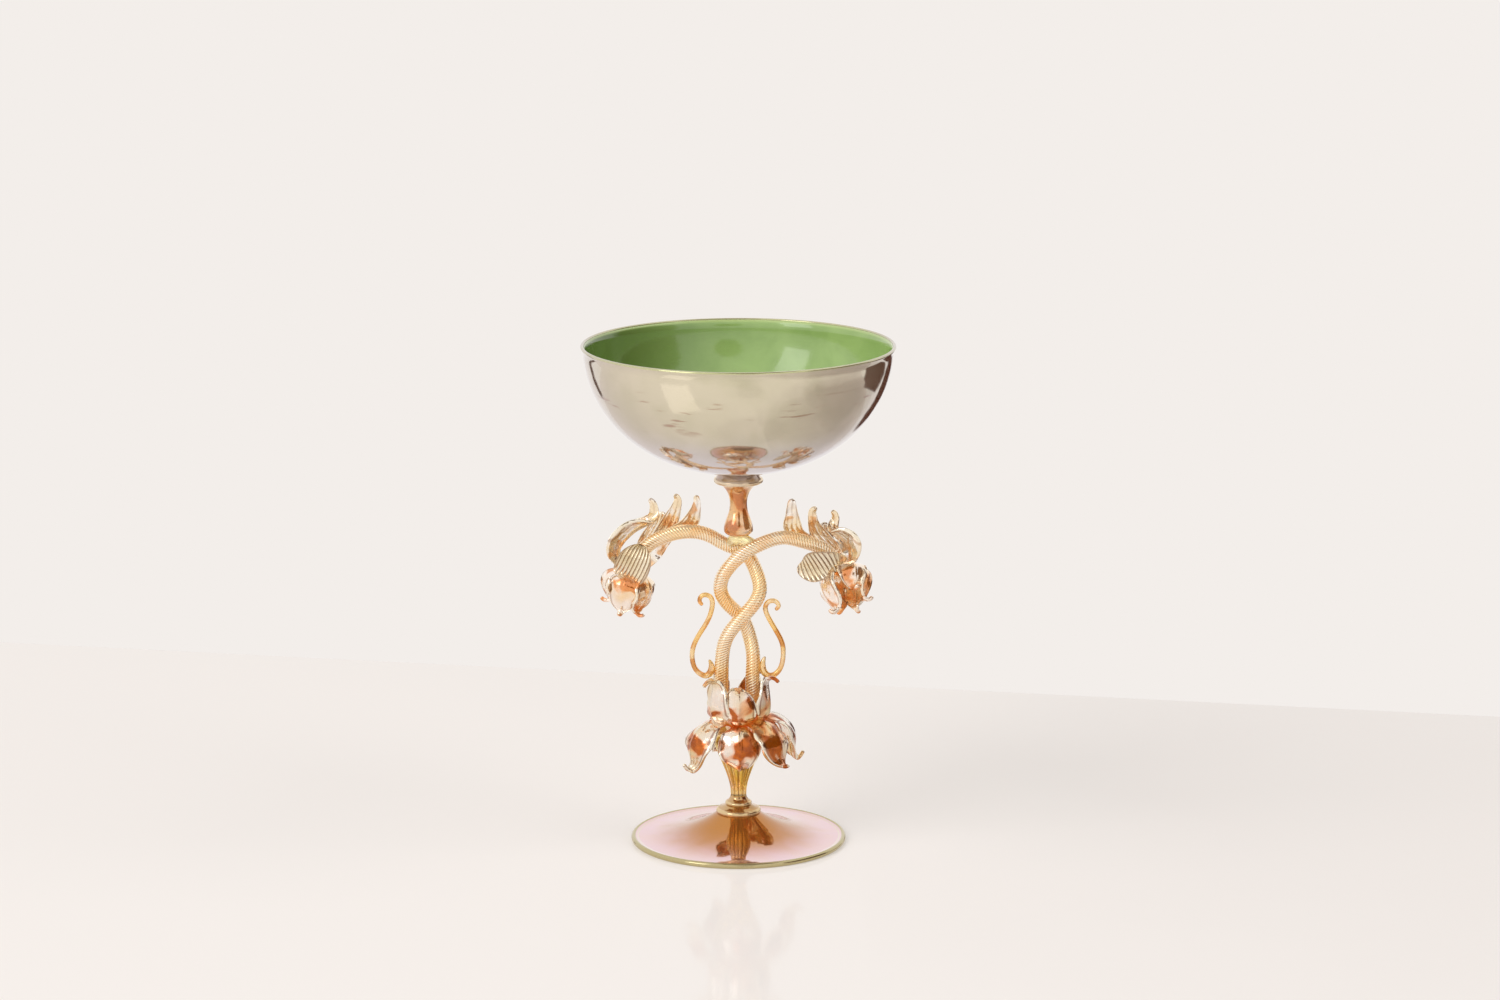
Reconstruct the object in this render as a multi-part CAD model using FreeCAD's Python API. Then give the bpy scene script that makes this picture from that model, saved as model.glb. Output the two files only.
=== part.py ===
"""Footed glass goblet with two interlaced canes, scroll handles and three blossoms.

Millimetres, +Z up. The origin is the centre of the ring on which the foot stands, +X is to the right of
someone who looks at the front, and +Y points away from them. Each separately worked piece of glass is one
solid, and neighbours meet face to face, as hot glass that is stuck on.
"""
import FreeCAD
import Part
import math
import os

Vector = FreeCAD.Vector

# Foot
foot_radius = 53.4
foot_height = 13.8
foot_rim_bead = 2.8
foot_wall = 1.9
foot_rest_width = 2.4
foot_crown_radius = 11.0

# The two buttons between the foot and the vase knop
lower_merese_radius = 11.1
lower_merese_height = 4.1
upper_merese_radius = 6.6
upper_merese_height = 4.7

# Ribbed vase knop
vase_height = 32.4
vase_radius = 12.2
vase_neck_radius = 4.0
vase_rib_count = 12
vase_rib_depth = 0.7

# Stem blossom
blossom_core_height = 11.0
blossom_core_neck_radius = 6.0
blossom_core_top_radius = 12.2
standard_reach = 19.7
standard_height = 21.0
standard_half_width = 7.6
standard_cup = 3.0
fall_reach = 28.6
fall_drop = 19.5
fall_half_width = 9.6
fall_cup = 3.2

# Canes
cane_diameter = 7.1
cane_gap = 0.3
twist_spread = 9.5
stem_rise = 89.4
arm_reach = 50.0

# Scroll handles
scroll_rod_diameter = 2.5
scroll_reach = 11.5
scroll_height = 41.0

# Joint between the canes and the upper knop
joint_radius = 5.6
joint_thickness = 1.6
joint_leg_radius = 2.7

# Upper knop and the button under the bowl
knop_bulge_radius = 7.2
knop_neck_radius = 4.3
knop_mouth_radius = 10.2
knop_height = 26.0
knop_wall = 1.6
collar_radius = 12.2
collar_height = 5.3

# Bowl
bowl_radius = 75.8
bowl_depth = 63.3
bowl_lip_flare = 1.7
bowl_flare_depth = 4.5
bowl_casing_wall = 1.0
bowl_lining_wall = 0.8
bowl_lip_height = 0.8

# Petals of all blossoms
petal_thickness = 1.4
horn_half_width = 4.0

# Arm blossoms
arm_flower_radius = 10.0
arm_core_radius = 4.7
arm_core_length = 11.0
bud_reach = 14.2
bud_length = 20.5
bud_half_width = 7.0
bud_cup = 2.6
petal_gap = 0.8

# How much thicker than its blade a petal's horn is, and the least rise of an arc as a share of its chord
horn_swell_share = 0.5
straight_arc_share = 0.002

# Powers of the bowl's outline
bowl_side_power = 2.03
bowl_base_power = 2.116

# Levels, from the floor up
lower_merese_z = foot_height
upper_merese_z = lower_merese_z + lower_merese_height
vase_z = upper_merese_z + upper_merese_height
core_z = vase_z + vase_height
cane_z = core_z + blossom_core_height
knop_z = cane_z + stem_rise
collar_z = knop_z + knop_height
rim_z = collar_z + collar_height + bowl_depth

# Half sizes and clearances that several pieces share
cane_radius = cane_diameter / 2
scroll_radius = scroll_rod_diameter / 2
strand_offset = cane_radius + cane_gap / 2
horn_stand_off = cane_radius + petal_gap + petal_thickness

# Each row of a route is (x, y, z). The twist's x is a share of the spread of the strands, its y of half the
# distance between strands that cross, and its z of the stem's rise. An arm's x is a share of its reach.
left_twist_shares = [
    (-0.76, 0.0, 0.0), (-0.88, 0.0, 0.10), (-0.88, 0.0, 0.20), (-0.84, -0.2, 0.318), (-0.567, -0.75, 0.432),
    (0.186, -1.0, 0.539), (0.833, -0.6, 0.617), (1.108, 0.0, 0.690), (0.885, 0.65, 0.791),
    (0.341, 1.0, 0.884)]
left_arm_shares = [
    (-0.112, 0.75, 0.932), (-0.299, 0.3, 0.992), (-0.455, 0.1, 1.013), (-0.60, 0.0, 1.008),
    (-0.730, 0.0, 0.986), (-0.858, 0.0, 0.950), (-0.947, 0.0, 0.899), (-0.992, 0.0, 0.849)]
right_twist_shares = [
    (0.66, 0.0, 0.0), (0.73, 0.0, 0.10), (0.73, 0.0, 0.20), (0.756, 0.2, 0.314), (0.574, 0.75, 0.417),
    (0.158, 1.0, 0.519), (-0.594, 0.6, 0.605), (-0.939, 0.0, 0.696), (-0.641, -0.70, 0.799),
    (0.29, -1.0, 0.903)]
right_arm_shares = [
    (0.168, -0.85, 0.938), (0.318, -0.4, 0.970), (0.467, -0.1, 0.981), (0.615, 0.0, 0.962),
    (0.752, 0.0, 0.938), (0.861, 0.0, 0.905), (0.950, 0.0, 0.854)]

# Each row of a scroll is (x, z, radius). The x is a share of the scroll's reach from the cane's side, the z
# of the scroll's height above the foot of its pad, and the radius of the rod's own.
left_scroll_shares = [
    (0.49, 0.870, 0.75), (0.63, 0.925, 0.85), (0.50, 0.990, 0.95), (0.20, 0.980, 1.0), (0.08, 0.890, 1.0),
    (0.25, 0.700, 1.0), (0.60, 0.530, 1.0), (0.87, 0.380, 1.0), (0.955, 0.250, 1.0), (0.86, 0.105, 1.0),
    (0.60, 0.020, 1.1), (0.32, 0.0, 1.25), (0.13, 0.070, 1.4), (0.15, 0.150, 0.9), (0.23, 0.195, 0.4)]
right_scroll_shares = [
    (0.66, 0.811, 0.75), (0.81, 0.860, 0.85), (0.67, 0.918, 0.95), (0.38, 0.912, 1.0), (0.24, 0.840, 1.0),
    (0.40, 0.705, 1.0), (0.70, 0.555, 1.0), (0.95, 0.410, 1.0), (1.01, 0.280, 1.0), (0.93, 0.120, 1.0),
    (0.68, 0.020, 1.1), (0.38, 0.0, 1.25), (0.14, 0.075, 1.4), (0.16, 0.185, 0.9), (0.24, 0.235, 0.4)]

# Each row of a whorl petal is (radius, height, half width, cup) along the midrib, from root to tip
standard_shares = [
    (0.26, 0.0, 0.42, 0.25), (0.60, 0.04, 0.72, 0.60), (0.78, 0.24, 0.97, 0.95), (0.80, 0.52, 1.0, 1.0),
    (0.76, 0.80, 0.74, 0.65), (0.78, 0.97, 0.32, 0.12), (0.95, 1.01, 0.19, 0.0), (1.13, 0.91, 0.11, 0.0)]
horned_fall_shares = [
    (0.14, 0.0, 0.30, 0.15), (0.34, 0.18, 0.54, 0.35), (0.58, 0.14, 0.84, 0.75), (0.79, -0.14, 1.0, 1.0),
    (0.86, -0.50, 0.95, 0.95), (0.85, -0.84, 0.48, 0.35), (0.93, -1.0, 0.19, 0.0), (1.03, -0.82, 0.10, 0.0)]
broad_fall_shares = [
    (0.14, 0.0, 0.30, 0.15), (0.32, 0.13, 0.54, 0.35), (0.54, 0.10, 0.86, 0.75), (0.72, -0.08, 1.05, 1.0),
    (0.82, -0.34, 1.05, 1.0), (0.85, -0.64, 0.62, 0.45), (0.93, -0.82, 0.22, 0.05), (1.02, -0.78, 0.10, 0.0)]
spoon_fall_shares = [
    (0.14, 0.0, 0.30, 0.15), (0.34, 0.06, 0.60, 0.45), (0.52, -0.04, 0.96, 0.90), (0.62, -0.30, 1.10, 1.0),
    (0.645, -0.62, 1.05, 0.90), (0.60, -0.90, 0.66, 0.40), (0.575, -0.99, 0.30, 0.15)]
bud_shares = [
    (0.12, 0.0, 0.45, 0.20), (0.52, 0.06, 0.85, 0.70), (0.80, 0.28, 1.08, 1.0), (0.78, 0.56, 1.10, 1.0),
    (0.58, 0.82, 0.78, 0.50), (0.50, 0.96, 0.30, 0.05), (0.66, 1.03, 0.18, 0.0), (0.80, 0.96, 0.12, 0.0)]

# Whorl petals by name: (azimuth in degrees, reach share, height share, width share)
standards = {
    "front": (-91, 0.90, 0.96, 1.18), "left": (-141, 1.0, 1.09, 1.10), "right": (-14, 0.93, 1.09, 1.0),
    "back_right": (58, 0.95, 1.05, 1.05), "back_left": (139, 0.95, 1.07, 1.05)}
horned_falls = {
    "left": (-148, 1.08, 0.97, 1.10), "back_right": (22, 1.19, 1.04, 0.95),
    "back_left": (116, 1.0, 1.0, 1.0)}
broad_falls = {"right": (-31, 1.0, 1.1, 1.15)}
spoon_falls = {"front": (-88, 1.0, 1.0, 1.0)}
left_bud = {
    "outer": (178, 1.14, 0.82, 1.0), "front": (-106, 0.90, 1.0, 1.05), "inner": (-30, 0.98, 0.97, 1.10),
    "back_inner": (40, 0.95, 0.98, 0.84), "back_outer": (110, 0.95, 0.98, 0.86)}
right_bud = {
    "outer": (5, 1.02, 0.95, 1.0), "front": (-58, 1.0, 0.80, 1.05), "inner": (-156, 1.02, 1.18, 1.15),
    "back_inner": (138, 0.90, 0.98, 0.84), "back_outer": (72, 0.92, 1.0, 0.86)}

# How far each bud leans outwards and how far its mouth is tilted to the front, in degrees
left_bud_turn = (12, 0)
right_bud_turn = (14, 42)

# Long petals of the arm blossoms. Each row is (outward, depth, up, half width, cup, turn) from the neck of
# the flower: depth is a share of the stand-off behind the cane, turn is in degrees about the midrib, and the
# rest are shares of the flower's radius. The first entry is the direction across the petal at its root,
# which is mirrored with the flower.
left_horns = {
    "outer": ((0, 1, 0), [
        (0.06, 0.05, 0.14, 0.34, 0.08, 0), (0.57, 0.1, 0.54, 0.52, 0.3, 0),
        (0.67, 0.17, 1.03, 0.68, 0.58, 0), (0.32, 0.28, 1.57, 0.7, 0.64, 0),
        (-0.19, 0.45, 2.0, 0.64, 0.54, 0), (-0.68, 0.73, 2.25, 0.48, 0.28, -15),
        (-0.98, 0.94, 2.55, 0.32, 0.08, -50), (-1.03, 0.99, 2.94, 0.23, 0.0, -90),
        (-0.95, 0.99, 3.32, 0.17, 0.0, -90), (-0.78, 0.99, 3.52, 0.12, 0.0, -90)]),
    "middle": ((-0.8, 0, -0.6), [
        (-0.43, 0.45, 0.39, 0.32, 0.06, 0), (-0.91, 1.6, 0.85, 0.42, 0.12, 0),
        (-1.31, 1.84, 1.42, 0.44, 0.14, 0), (-1.65, 1.84, 1.98, 0.44, 0.12, 0),
        (-1.93, 1.7, 2.55, 0.38, 0.06, 0), (-2.13, 1.57, 3.07, 0.25, 0.01, 0),
        (-2.18, 1.5, 3.46, 0.17, 0.0, 0), (-2.01, 1.5, 3.66, 0.12, 0.0, 0)]),
    "inner": ((-0.65, 0, -0.75), [
        (-0.58, 0.45, 0.34, 0.32, 0.06, 0), (-1.02, 0.99, 0.78, 0.39, 0.1, 0),
        (-1.44, 1.13, 1.34, 0.34, 0.1, 0), (-1.95, 1.18, 1.81, 0.33, 0.09, 0),
        (-2.5, 1.18, 2.06, 0.38, 0.08, 0), (-2.87, 1.18, 2.42, 0.4, 0.06, 0),
        (-3.04, 1.13, 2.88, 0.29, 0.02, 0), (-3.14, 1.1, 3.33, 0.18, 0.0, 0),
        (-3.07, 1.1, 3.68, 0.13, 0.0, 0)]),
    "back": ((-1, 0, 0), [
        (-0.23, 0.7, 0.46, 0.32, 0.06, 0), (-0.61, 2.19, 0.92, 0.46, 0.12, 0),
        (-0.95, 2.61, 1.48, 0.48, 0.14, 0), (-1.25, 2.61, 1.98, 0.42, 0.1, 0),
        (-1.4, 2.54, 2.4, 0.34, 0.05, 0), (-1.45, 2.5, 2.68, 0.2, 0.01, 0)])}
left_apron = ((-0.9, 0, -0.4), [
    (0.20, -0.3, -0.16, 0.34, 0.06, 0), (0.30, -1.0, -0.10, 0.62, 0.14, 0),
    (0.12, -1.5, 0.22, 0.84, 0.22, 0), (-0.12, -1.6, 0.72, 0.84, 0.24, 0),
    (-0.34, -1.45, 1.20, 0.68, 0.16, 0), (-0.44, -1.2, 1.44, 0.50, 0.08, 0)])
right_horns = {
    "outer": ((0, 1, 0), [
        (0.13, 0.05, 0.11, 0.34, 0.08, 0), (0.35, 0.1, 0.45, 0.5, 0.26, 0),
        (0.3, 0.17, 0.95, 0.68, 0.58, 0), (-0.02, 0.31, 1.41, 0.68, 0.58, 0),
        (-0.41, 0.66, 1.62, 0.46, 0.24, -15), (-0.48, 0.9, 1.91, 0.32, 0.08, -50),
        (-0.36, 0.99, 2.28, 0.22, 0.0, -90), (-0.36, 0.99, 2.58, 0.17, 0.0, -90),
        (-0.53, 0.99, 2.78, 0.12, 0.0, -90)]),
    "middle": ((-0.8, 0, -0.6), [
        (-0.21, 0.45, 0.26, 0.32, 0.06, 0), (-0.39, 1.65, 0.61, 0.42, 0.12, 0),
        (-0.74, 1.88, 1.03, 0.42, 0.13, 0), (-1.11, 1.88, 1.44, 0.42, 0.1, 0),
        (-1.36, 1.74, 1.91, 0.33, 0.04, 0), (-1.46, 1.6, 2.38, 0.23, 0.0, 0),
        (-1.44, 1.53, 2.72, 0.18, 0.0, 0), (-1.24, 1.5, 2.87, 0.12, 0.0, 0)]),
    "inner": ((-0.7, 0, -0.7), [
        (-0.31, 0.45, 0.21, 0.32, 0.06, 0), (-0.7, 1.01, 0.54, 0.38, 0.1, 0),
        (-1.19, 1.15, 0.92, 0.34, 0.1, 0), (-1.73, 1.18, 1.27, 0.32, 0.09, 0),
        (-2.2, 1.18, 1.58, 0.38, 0.08, 0), (-2.45, 1.18, 1.98, 0.46, 0.06, 0),
        (-2.48, 1.17, 2.49, 0.35, 0.03, 0), (-2.5, 1.13, 2.94, 0.26, 0.0, 0),
        (-2.44, 1.1, 3.37, 0.15, 0.0, 0)]),
    "back": ((-1, 0, 0), [
        (-0.01, 0.7, 0.33, 0.32, 0.06, 0), (-0.19, 2.24, 0.73, 0.46, 0.12, 0),
        (-0.48, 2.68, 1.18, 0.48, 0.14, 0), (-0.76, 2.68, 1.59, 0.42, 0.1, 0),
        (-0.86, 2.61, 1.82, 0.34, 0.05, 0), (-0.86, 2.57, 2.01, 0.2, 0.01, 0)])}
right_apron = ((0, 0, -1), [
    (0.10, -0.4, 0.26, 0.32, 0.06, 0), (-0.15, -1.1, 0.45, 0.40, 0.10, 0),
    (-0.60, -1.5, 0.48, 0.55, 0.16, 0), (-1.06, -1.62, 0.38, 0.70, 0.22, 0),
    (-1.56, -1.55, 0.26, 0.72, 0.22, 0), (-1.96, -1.4, 0.22, 0.52, 0.14, 0),
    (-2.18, -1.25, 0.28, 0.30, 0.06, 0)])

# Turned outlines. Each row's radius is made of shares of the named radii, and its height is the last share.
vase_outline_shares = [
    (0.0, 1.0, 0.0), (0.0, 1.03, 0.10), (0.12, 0.88, 0.24), (0.38, 0.58, 0.42), (0.66, 0.33, 0.60),
    (0.90, 0.10, 0.76), (1.0, 0.0, 0.87), (0.90, 0.0, 0.955), (0.62, 0.0, 1.0)]
knop_outline_shares = [
    (0.78, 0.0, 0.0, 0.0), (0.97, 0.0, 0.0, 0.05), (1.0, 0.0, 0.0, 0.12), (0.78, 0.20, 0.0, 0.25),
    (0.30, 0.64, 0.0, 0.42), (0.0, 1.0, 0.0, 0.55), (0.0, 1.0, 0.01, 0.68), (0.0, 0.75, 0.26, 0.84),
    (0.0, 0.30, 0.72, 0.96), (0.0, 0.0, 1.0, 1.0)]


def spread(value, share):
    """Return the three shares of a point times the three sizes that they follow."""
    return Vector(value[0] * share[0], value[1] * share[1], value[2] * share[2])


def smooth_points(points, per_span):
    """Return points of the centripetal spline through points, per_span of them to each span."""
    ends = [points[0] * 2 - points[1]] + points + [points[-1] * 2 - points[-2]]
    result = []
    for index in range(1, len(ends) - 2):
        p0, p1, p2, p3 = ends[index - 1:index + 3]
        t1 = math.sqrt((p1 - p0).Length)
        t2 = t1 + math.sqrt((p2 - p1).Length)
        t3 = t2 + math.sqrt((p3 - p2).Length)
        for step in range(per_span):
            t = t1 + (t2 - t1) * step / per_span
            a1 = p0 * ((t1 - t) / t1) + p1 * (t / t1)
            a2 = p1 * ((t2 - t) / (t2 - t1)) + p2 * ((t - t1) / (t2 - t1))
            a3 = p2 * ((t3 - t) / (t3 - t2)) + p3 * ((t - t2) / (t3 - t2))
            b1 = a1 * ((t2 - t) / t2) + a2 * (t / t2)
            b2 = a2 * ((t3 - t) / (t3 - t1)) + a3 * ((t - t1) / (t3 - t1))
            result.append(b1 * ((t2 - t) / (t2 - t1)) + b2 * ((t - t1) / (t2 - t1)))
    result.append(points[-1])
    return result


def tangents(points):
    """Return the direction of the path at each of its points."""
    result = []
    for index in range(len(points)):
        before = points[max(index - 1, 0)]
        after = points[min(index + 1, len(points) - 1)]
        result.append((after - before).normalize())
    return result


def frames(points, across):
    """Return (tangent, across, outward) at each point, with across carried along without twist."""
    result = []
    for tangent in tangents(points):
        across = (across - tangent * across.dot(tangent)).normalize()
        result.append((tangent, across, across.cross(tangent)))
    return result


def arc_wire(corners, middles):
    """Return the closed wire of arcs from corner to corner, each through its middle point.

    An arc that would be all but straight is a straight edge.
    """
    edges = []
    for index, middle in enumerate(middles):
        start = corners[index]
        end = corners[(index + 1) % len(corners)]
        chord = end - start
        if (middle - start).cross(chord).Length < chord.Length ** 2 * straight_arc_share:
            edges.append(Part.LineSegment(start, end).toShape())
        else:
            edges.append(Part.Arc(start, middle, end).toShape())
    return Part.Wire(edges)


def round_section(centre, across, outward, radius):
    """Return a circle of four arcs."""
    corners = []
    middles = []
    for quarter in range(4):
        for angle, group in ((quarter * 90, corners), (quarter * 90 + 45, middles)):
            turn = math.radians(angle)
            group.append(centre + across * (radius * math.cos(turn)) + outward * (radius * math.sin(turn)))
    return arc_wire(corners, middles)


def petal_section(centre, across, outward, half_width, cup, thickness):
    """Return a crescent: an arc over the outer face, an arc over the inner face and two narrow edges.

    cup is how far the edges of the petal lie behind its midrib.
    """
    corners = []
    for side, level in ((-1, 1), (1, 1), (1, -1), (-1, -1)):
        corners.append(centre + across * (side * half_width) + outward * (level * thickness / 4 - cup))
    middles = [centre + outward * (thickness / 2), (corners[1] + corners[2]) / 2,
               centre - outward * (thickness / 2), (corners[3] + corners[0]) / 2]
    return arc_wire(corners, middles)


def tube(points, radii, across):
    """Return the round rod along points, with a radius at each of them and straight between them."""
    sections = []
    for point, radius, frame in zip(points, radii, frames(points, across)):
        sections.append(round_section(point, frame[1], frame[2], radius))
    return Part.makeLoft(sections, True, True)


def petal(points, half_widths, cups, across, turns):
    """Return the petal along a midrib: a thin blade whose narrow end thickens to a horn.

    turns are how far each section is turned about the midrib, in degrees.
    """
    sections = []
    rows = zip(points, half_widths, cups, turns, frames(points, across))
    for point, half_width, cup, turn, (tangent, side, _) in rows:
        side = FreeCAD.Rotation(tangent, turn).multVec(side)
        narrowness = 1 - min(half_width / horn_half_width, 1)
        thickness = petal_thickness * (1 + horn_swell_share * narrowness)
        thickness = min(thickness, half_width * 9 / 5)
        sections.append(petal_section(point, side, side.cross(tangent), half_width, cup, thickness))
    return Part.makeLoft(sections, True, True)


def trimmed(blank, seats):
    """Return blank without what lies in its seats, as its one largest solid."""
    for seat in seats:
        if seat.BoundBox.intersect(blank.BoundBox):
            blank = blank.cut(seat)
    return max(blank.Solids, key=lambda solid: solid.Volume)


def turned(edges):
    """Return the solid that a closed outline in the XZ plane sweeps round the Z axis."""
    face = Part.Face(Part.Wire(edges))
    return face.revolve(Vector(0, 0, 0), Vector(0, 0, 1), 360)


def line(start, end):
    """Return a straight edge between two (radius, height) points."""
    return Part.LineSegment(Vector(start[0], 0, start[1]), Vector(end[0], 0, end[1])).toShape()


def arc(start, middle, end):
    """Return an arc through three (radius, height) points."""
    return Part.Arc(*[Vector(point[0], 0, point[1]) for point in (start, middle, end)]).toShape()


def curve(outline):
    """Return a smooth edge through (radius, height) points."""
    spline = Part.BSplineCurve()
    spline.interpolate([Vector(point[0], 0, point[1]) for point in outline])
    return spline.toShape()


def polyline(outline):
    """Return the straight edges from each (radius, height) point to the next."""
    return [line(start, end) for start, end in zip(outline, outline[1:])]


def foot():
    """Return the blown foot: a concave cone, hollow below, with a rolled rim that stands on a flat ring."""
    bead = foot_rim_bead / 2
    bead_centre = foot_radius - bead
    rest_outer = bead_centre
    rest_inner = rest_outer - foot_rest_width
    brim = (rest_inner, bead * 3 / 2)
    crown = (foot_crown_radius, foot_height)
    slope = ((brim[0] + crown[0]) * 2 / 5, brim[1] + (crown[1] - brim[1]) * 2 / 5)
    hollow_edge = (rest_inner - foot_wall / 2, foot_wall / 2)
    hollow_top = (foot_crown_radius, foot_height - foot_wall * 2)
    hollow_slope = (slope[0], slope[1] - foot_wall)
    edges = polyline([(0, hollow_top[1]), (0, foot_height), crown])
    edges.append(arc(crown, slope, brim))
    edges.append(line(brim, (bead_centre, foot_rim_bead)))
    edges.append(arc((bead_centre, foot_rim_bead), (foot_radius, bead), (bead_centre, 0)))
    edges += polyline([(rest_outer, 0), (rest_inner, 0), hollow_edge])
    edges.append(arc(hollow_edge, hollow_slope, hollow_top))
    edges.append(line(hollow_top, (0, hollow_top[1])))
    return turned(edges)


def lower_merese():
    """Return the wide button on the foot, with a rounded edge and a sloping top."""
    base = lower_merese_z
    top = upper_merese_z
    rise = lower_merese_height
    seat = min(foot_crown_radius, lower_merese_radius) - rise / 8
    brow = (lower_merese_radius - rise / 5, base + rise * 5 / 8)
    edges = polyline([(0, top), (0, base), (seat, base)])
    edges.append(arc((seat, base), (lower_merese_radius, base + rise / 3), brow))
    edges += polyline([brow, (upper_merese_radius, top), (0, top)])
    return turned(edges)


def upper_merese():
    """Return the small button that narrows upwards to the neck of the vase knop."""
    base = upper_merese_z
    rise = upper_merese_height
    seat = upper_merese_radius - rise / 6
    brow = (upper_merese_radius - rise / 10, base + rise * 3 / 7)
    edges = polyline([(0, vase_z), (0, base), (seat, base)])
    edges.append(arc((seat, base), (upper_merese_radius, base + rise / 5), brow))
    edges += polyline([brow, (vase_neck_radius, vase_z), (0, vase_z)])
    return turned(edges)


def ribbed_wire(radius, height, rib):
    """Return a closed ring of one outward arc for each rib."""
    step = 2 * math.pi / vase_rib_count
    corners = []
    middles = []
    for index in range(vase_rib_count):
        valley = step * index
        crest = step * index + step / 2
        corners.append(Vector((radius - rib) * math.cos(valley), (radius - rib) * math.sin(valley), height))
        middles.append(Vector(radius * math.cos(crest), radius * math.sin(crest), height))
    return arc_wire(corners, middles)


def vase_knop():
    """Return the optic-ribbed baluster: ribs that swell with the shoulder and die out at the neck."""
    rings = []
    for vase_share, neck_share, height_share in vase_outline_shares:
        radius = vase_share * vase_radius + neck_share * vase_neck_radius
        rib = vase_rib_depth * radius / vase_radius
        rings.append(ribbed_wire(radius, vase_z + height_share * vase_height, rib))
    return Part.makeLoft(rings, True, False)


def blossom_core():
    """Return the flared receptacle that carries the petals, with a flat top for both canes."""
    neck = min(blossom_core_neck_radius, blossom_core_top_radius)
    rise = blossom_core_height
    middle = ((neck + blossom_core_top_radius) / 2 - rise / 8, core_z + rise / 2)
    edges = polyline([(0, cane_z), (0, core_z), (neck, core_z)])
    edges.append(arc((neck, core_z), middle, (blossom_core_top_radius, cane_z)))
    edges.append(line((blossom_core_top_radius, cane_z), (0, cane_z)))
    return turned(edges)


def whorl_midrib(rows, azimuth, reach, height):
    """Return the midrib of a whorl petal about the Z axis, from its rows of shares."""
    turn = math.radians(azimuth)
    points = []
    for row in rows:
        radius = row[0] * reach
        points.append(Vector(radius * math.cos(turn), radius * math.sin(turn), row[1] * height))
    return points


def whorl_petal(rows, azimuth, reach, height, half_width, cup, facing):
    """Return a whorl petal about the Z axis. A facing of 1 turns its outer face outwards, -1 upwards."""
    turn = math.radians(azimuth)
    across = Vector(-math.sin(turn), math.cos(turn), 0) * facing
    widths = [row[2] * half_width for row in rows]
    cups = [row[3] * cup for row in rows]
    return petal(whorl_midrib(rows, azimuth, reach, height), widths, cups, across, [0] * len(rows))


def blossom_petals(seats):
    """Return the stem blossom's petals by node name, each cut to its seat on the glass already there."""
    root_z = core_z + blossom_core_height / 3
    standard_z = core_z + blossom_core_height / 2
    petals = {}
    for name, (azimuth, reach, height, width) in standards.items():
        blank = whorl_petal(standard_shares, azimuth, reach * standard_reach, height * standard_height,
                            width * standard_half_width, standard_cup, 1)
        blank.translate(Vector(0, 0, standard_z))
        petals["blossom_standard_" + name] = trimmed(blank, seats + list(petals.values()))
    for rows, group in ((horned_fall_shares, horned_falls), (broad_fall_shares, broad_falls),
                        (spoon_fall_shares, spoon_falls)):
        for name, (azimuth, reach, drop, width) in group.items():
            blank = whorl_petal(rows, azimuth, reach * fall_reach, drop * fall_drop,
                                width * fall_half_width, fall_cup, -1)
            blank.translate(Vector(0, 0, root_z))
            petals["blossom_fall_" + name] = trimmed(blank, seats + list(petals.values()))
    return petals


def cane_route(twist, arm):
    """Return the smooth centre line of a cane, from the blossom's core to its own flower."""
    points = []
    for share in twist:
        offset = spread((twist_spread, strand_offset, stem_rise), share)
        points.append(offset + Vector(0, 0, cane_z))
    for share in arm:
        offset = spread((arm_reach, strand_offset, stem_rise), share)
        points.append(offset + Vector(0, 0, cane_z))
    return points


def cane(route):
    """Return the round cane along its route. It rises square from its seat."""
    points = smooth_points(route, 2)
    sections = []
    for index, frame in enumerate(frames(points, Vector(0, 1, 0))):
        across, outward = frame[1], frame[2]
        if index == 0:
            across, outward = Vector(0, 1, 0), Vector(1, 0, 0)
        sections.append(round_section(points[index], across, outward, cane_radius))
    return Part.makeLoft(sections, True, False)


def scroll(rows, side, seat_x, seats):
    """Return an S-shaped scroll with a curled top, cut where its pad lies on the cane.

    side is -1 on the left and 1 on the right, and seat_x is the outer side of the cane there.
    """
    pad_z = cane_z + stem_rise / 5
    points = []
    radii = []
    for x_share, z_share, radius_share in rows:
        points.append(Vector(side * (seat_x + x_share * scroll_reach), 0, pad_z + z_share * scroll_height))
        radii.append(radius_share * scroll_radius)
    return trimmed(tube(points, radii, Vector(0, 1, 0)), seats)


def stem_joint(left, right, left_route, right_route):
    """Return the clear glass that links both arms to the upper knop: a disc with one leg to each arm."""
    body = Part.makeCylinder(joint_radius, joint_thickness, Vector(0, 0, knop_z - joint_thickness))
    for route in (left_route, right_route):
        seat = route[len(left_twist_shares)]
        side = math.copysign(joint_radius - joint_leg_radius, seat.x)
        head = Vector(side, 0, knop_z - joint_thickness / 2)
        leg = tube([seat, head], [joint_leg_radius] * 2, Vector(0, 1, 0))
        body = body.fuse(leg)
    over = joint_radius * 3
    ceiling = Part.makeBox(over, over, over, Vector(-over / 2, -over / 2, knop_z))
    return trimmed(body, [left, right, ceiling])


def upper_knop():
    """Return the hollow trumpet knop, from its rounded foot to its mouth under the bowl."""
    outline = []
    for bulge_share, neck_share, mouth_share, height_share in knop_outline_shares:
        radius = bulge_share * knop_bulge_radius + neck_share * knop_neck_radius
        radius += mouth_share * knop_mouth_radius
        outline.append((radius, knop_z + height_share * knop_height))
    bore = [(knop_mouth_radius - knop_wall * 2, collar_z)]
    bore.append((knop_neck_radius - knop_wall, collar_z - knop_height / 3))
    bore.append((0, knop_z + knop_height / 10))
    edges = [line((0, knop_z), outline[0]), curve(outline), line(outline[-1], bore[0])]
    edges += polyline(bore + [(0, knop_z)])
    return turned(edges)


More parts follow.
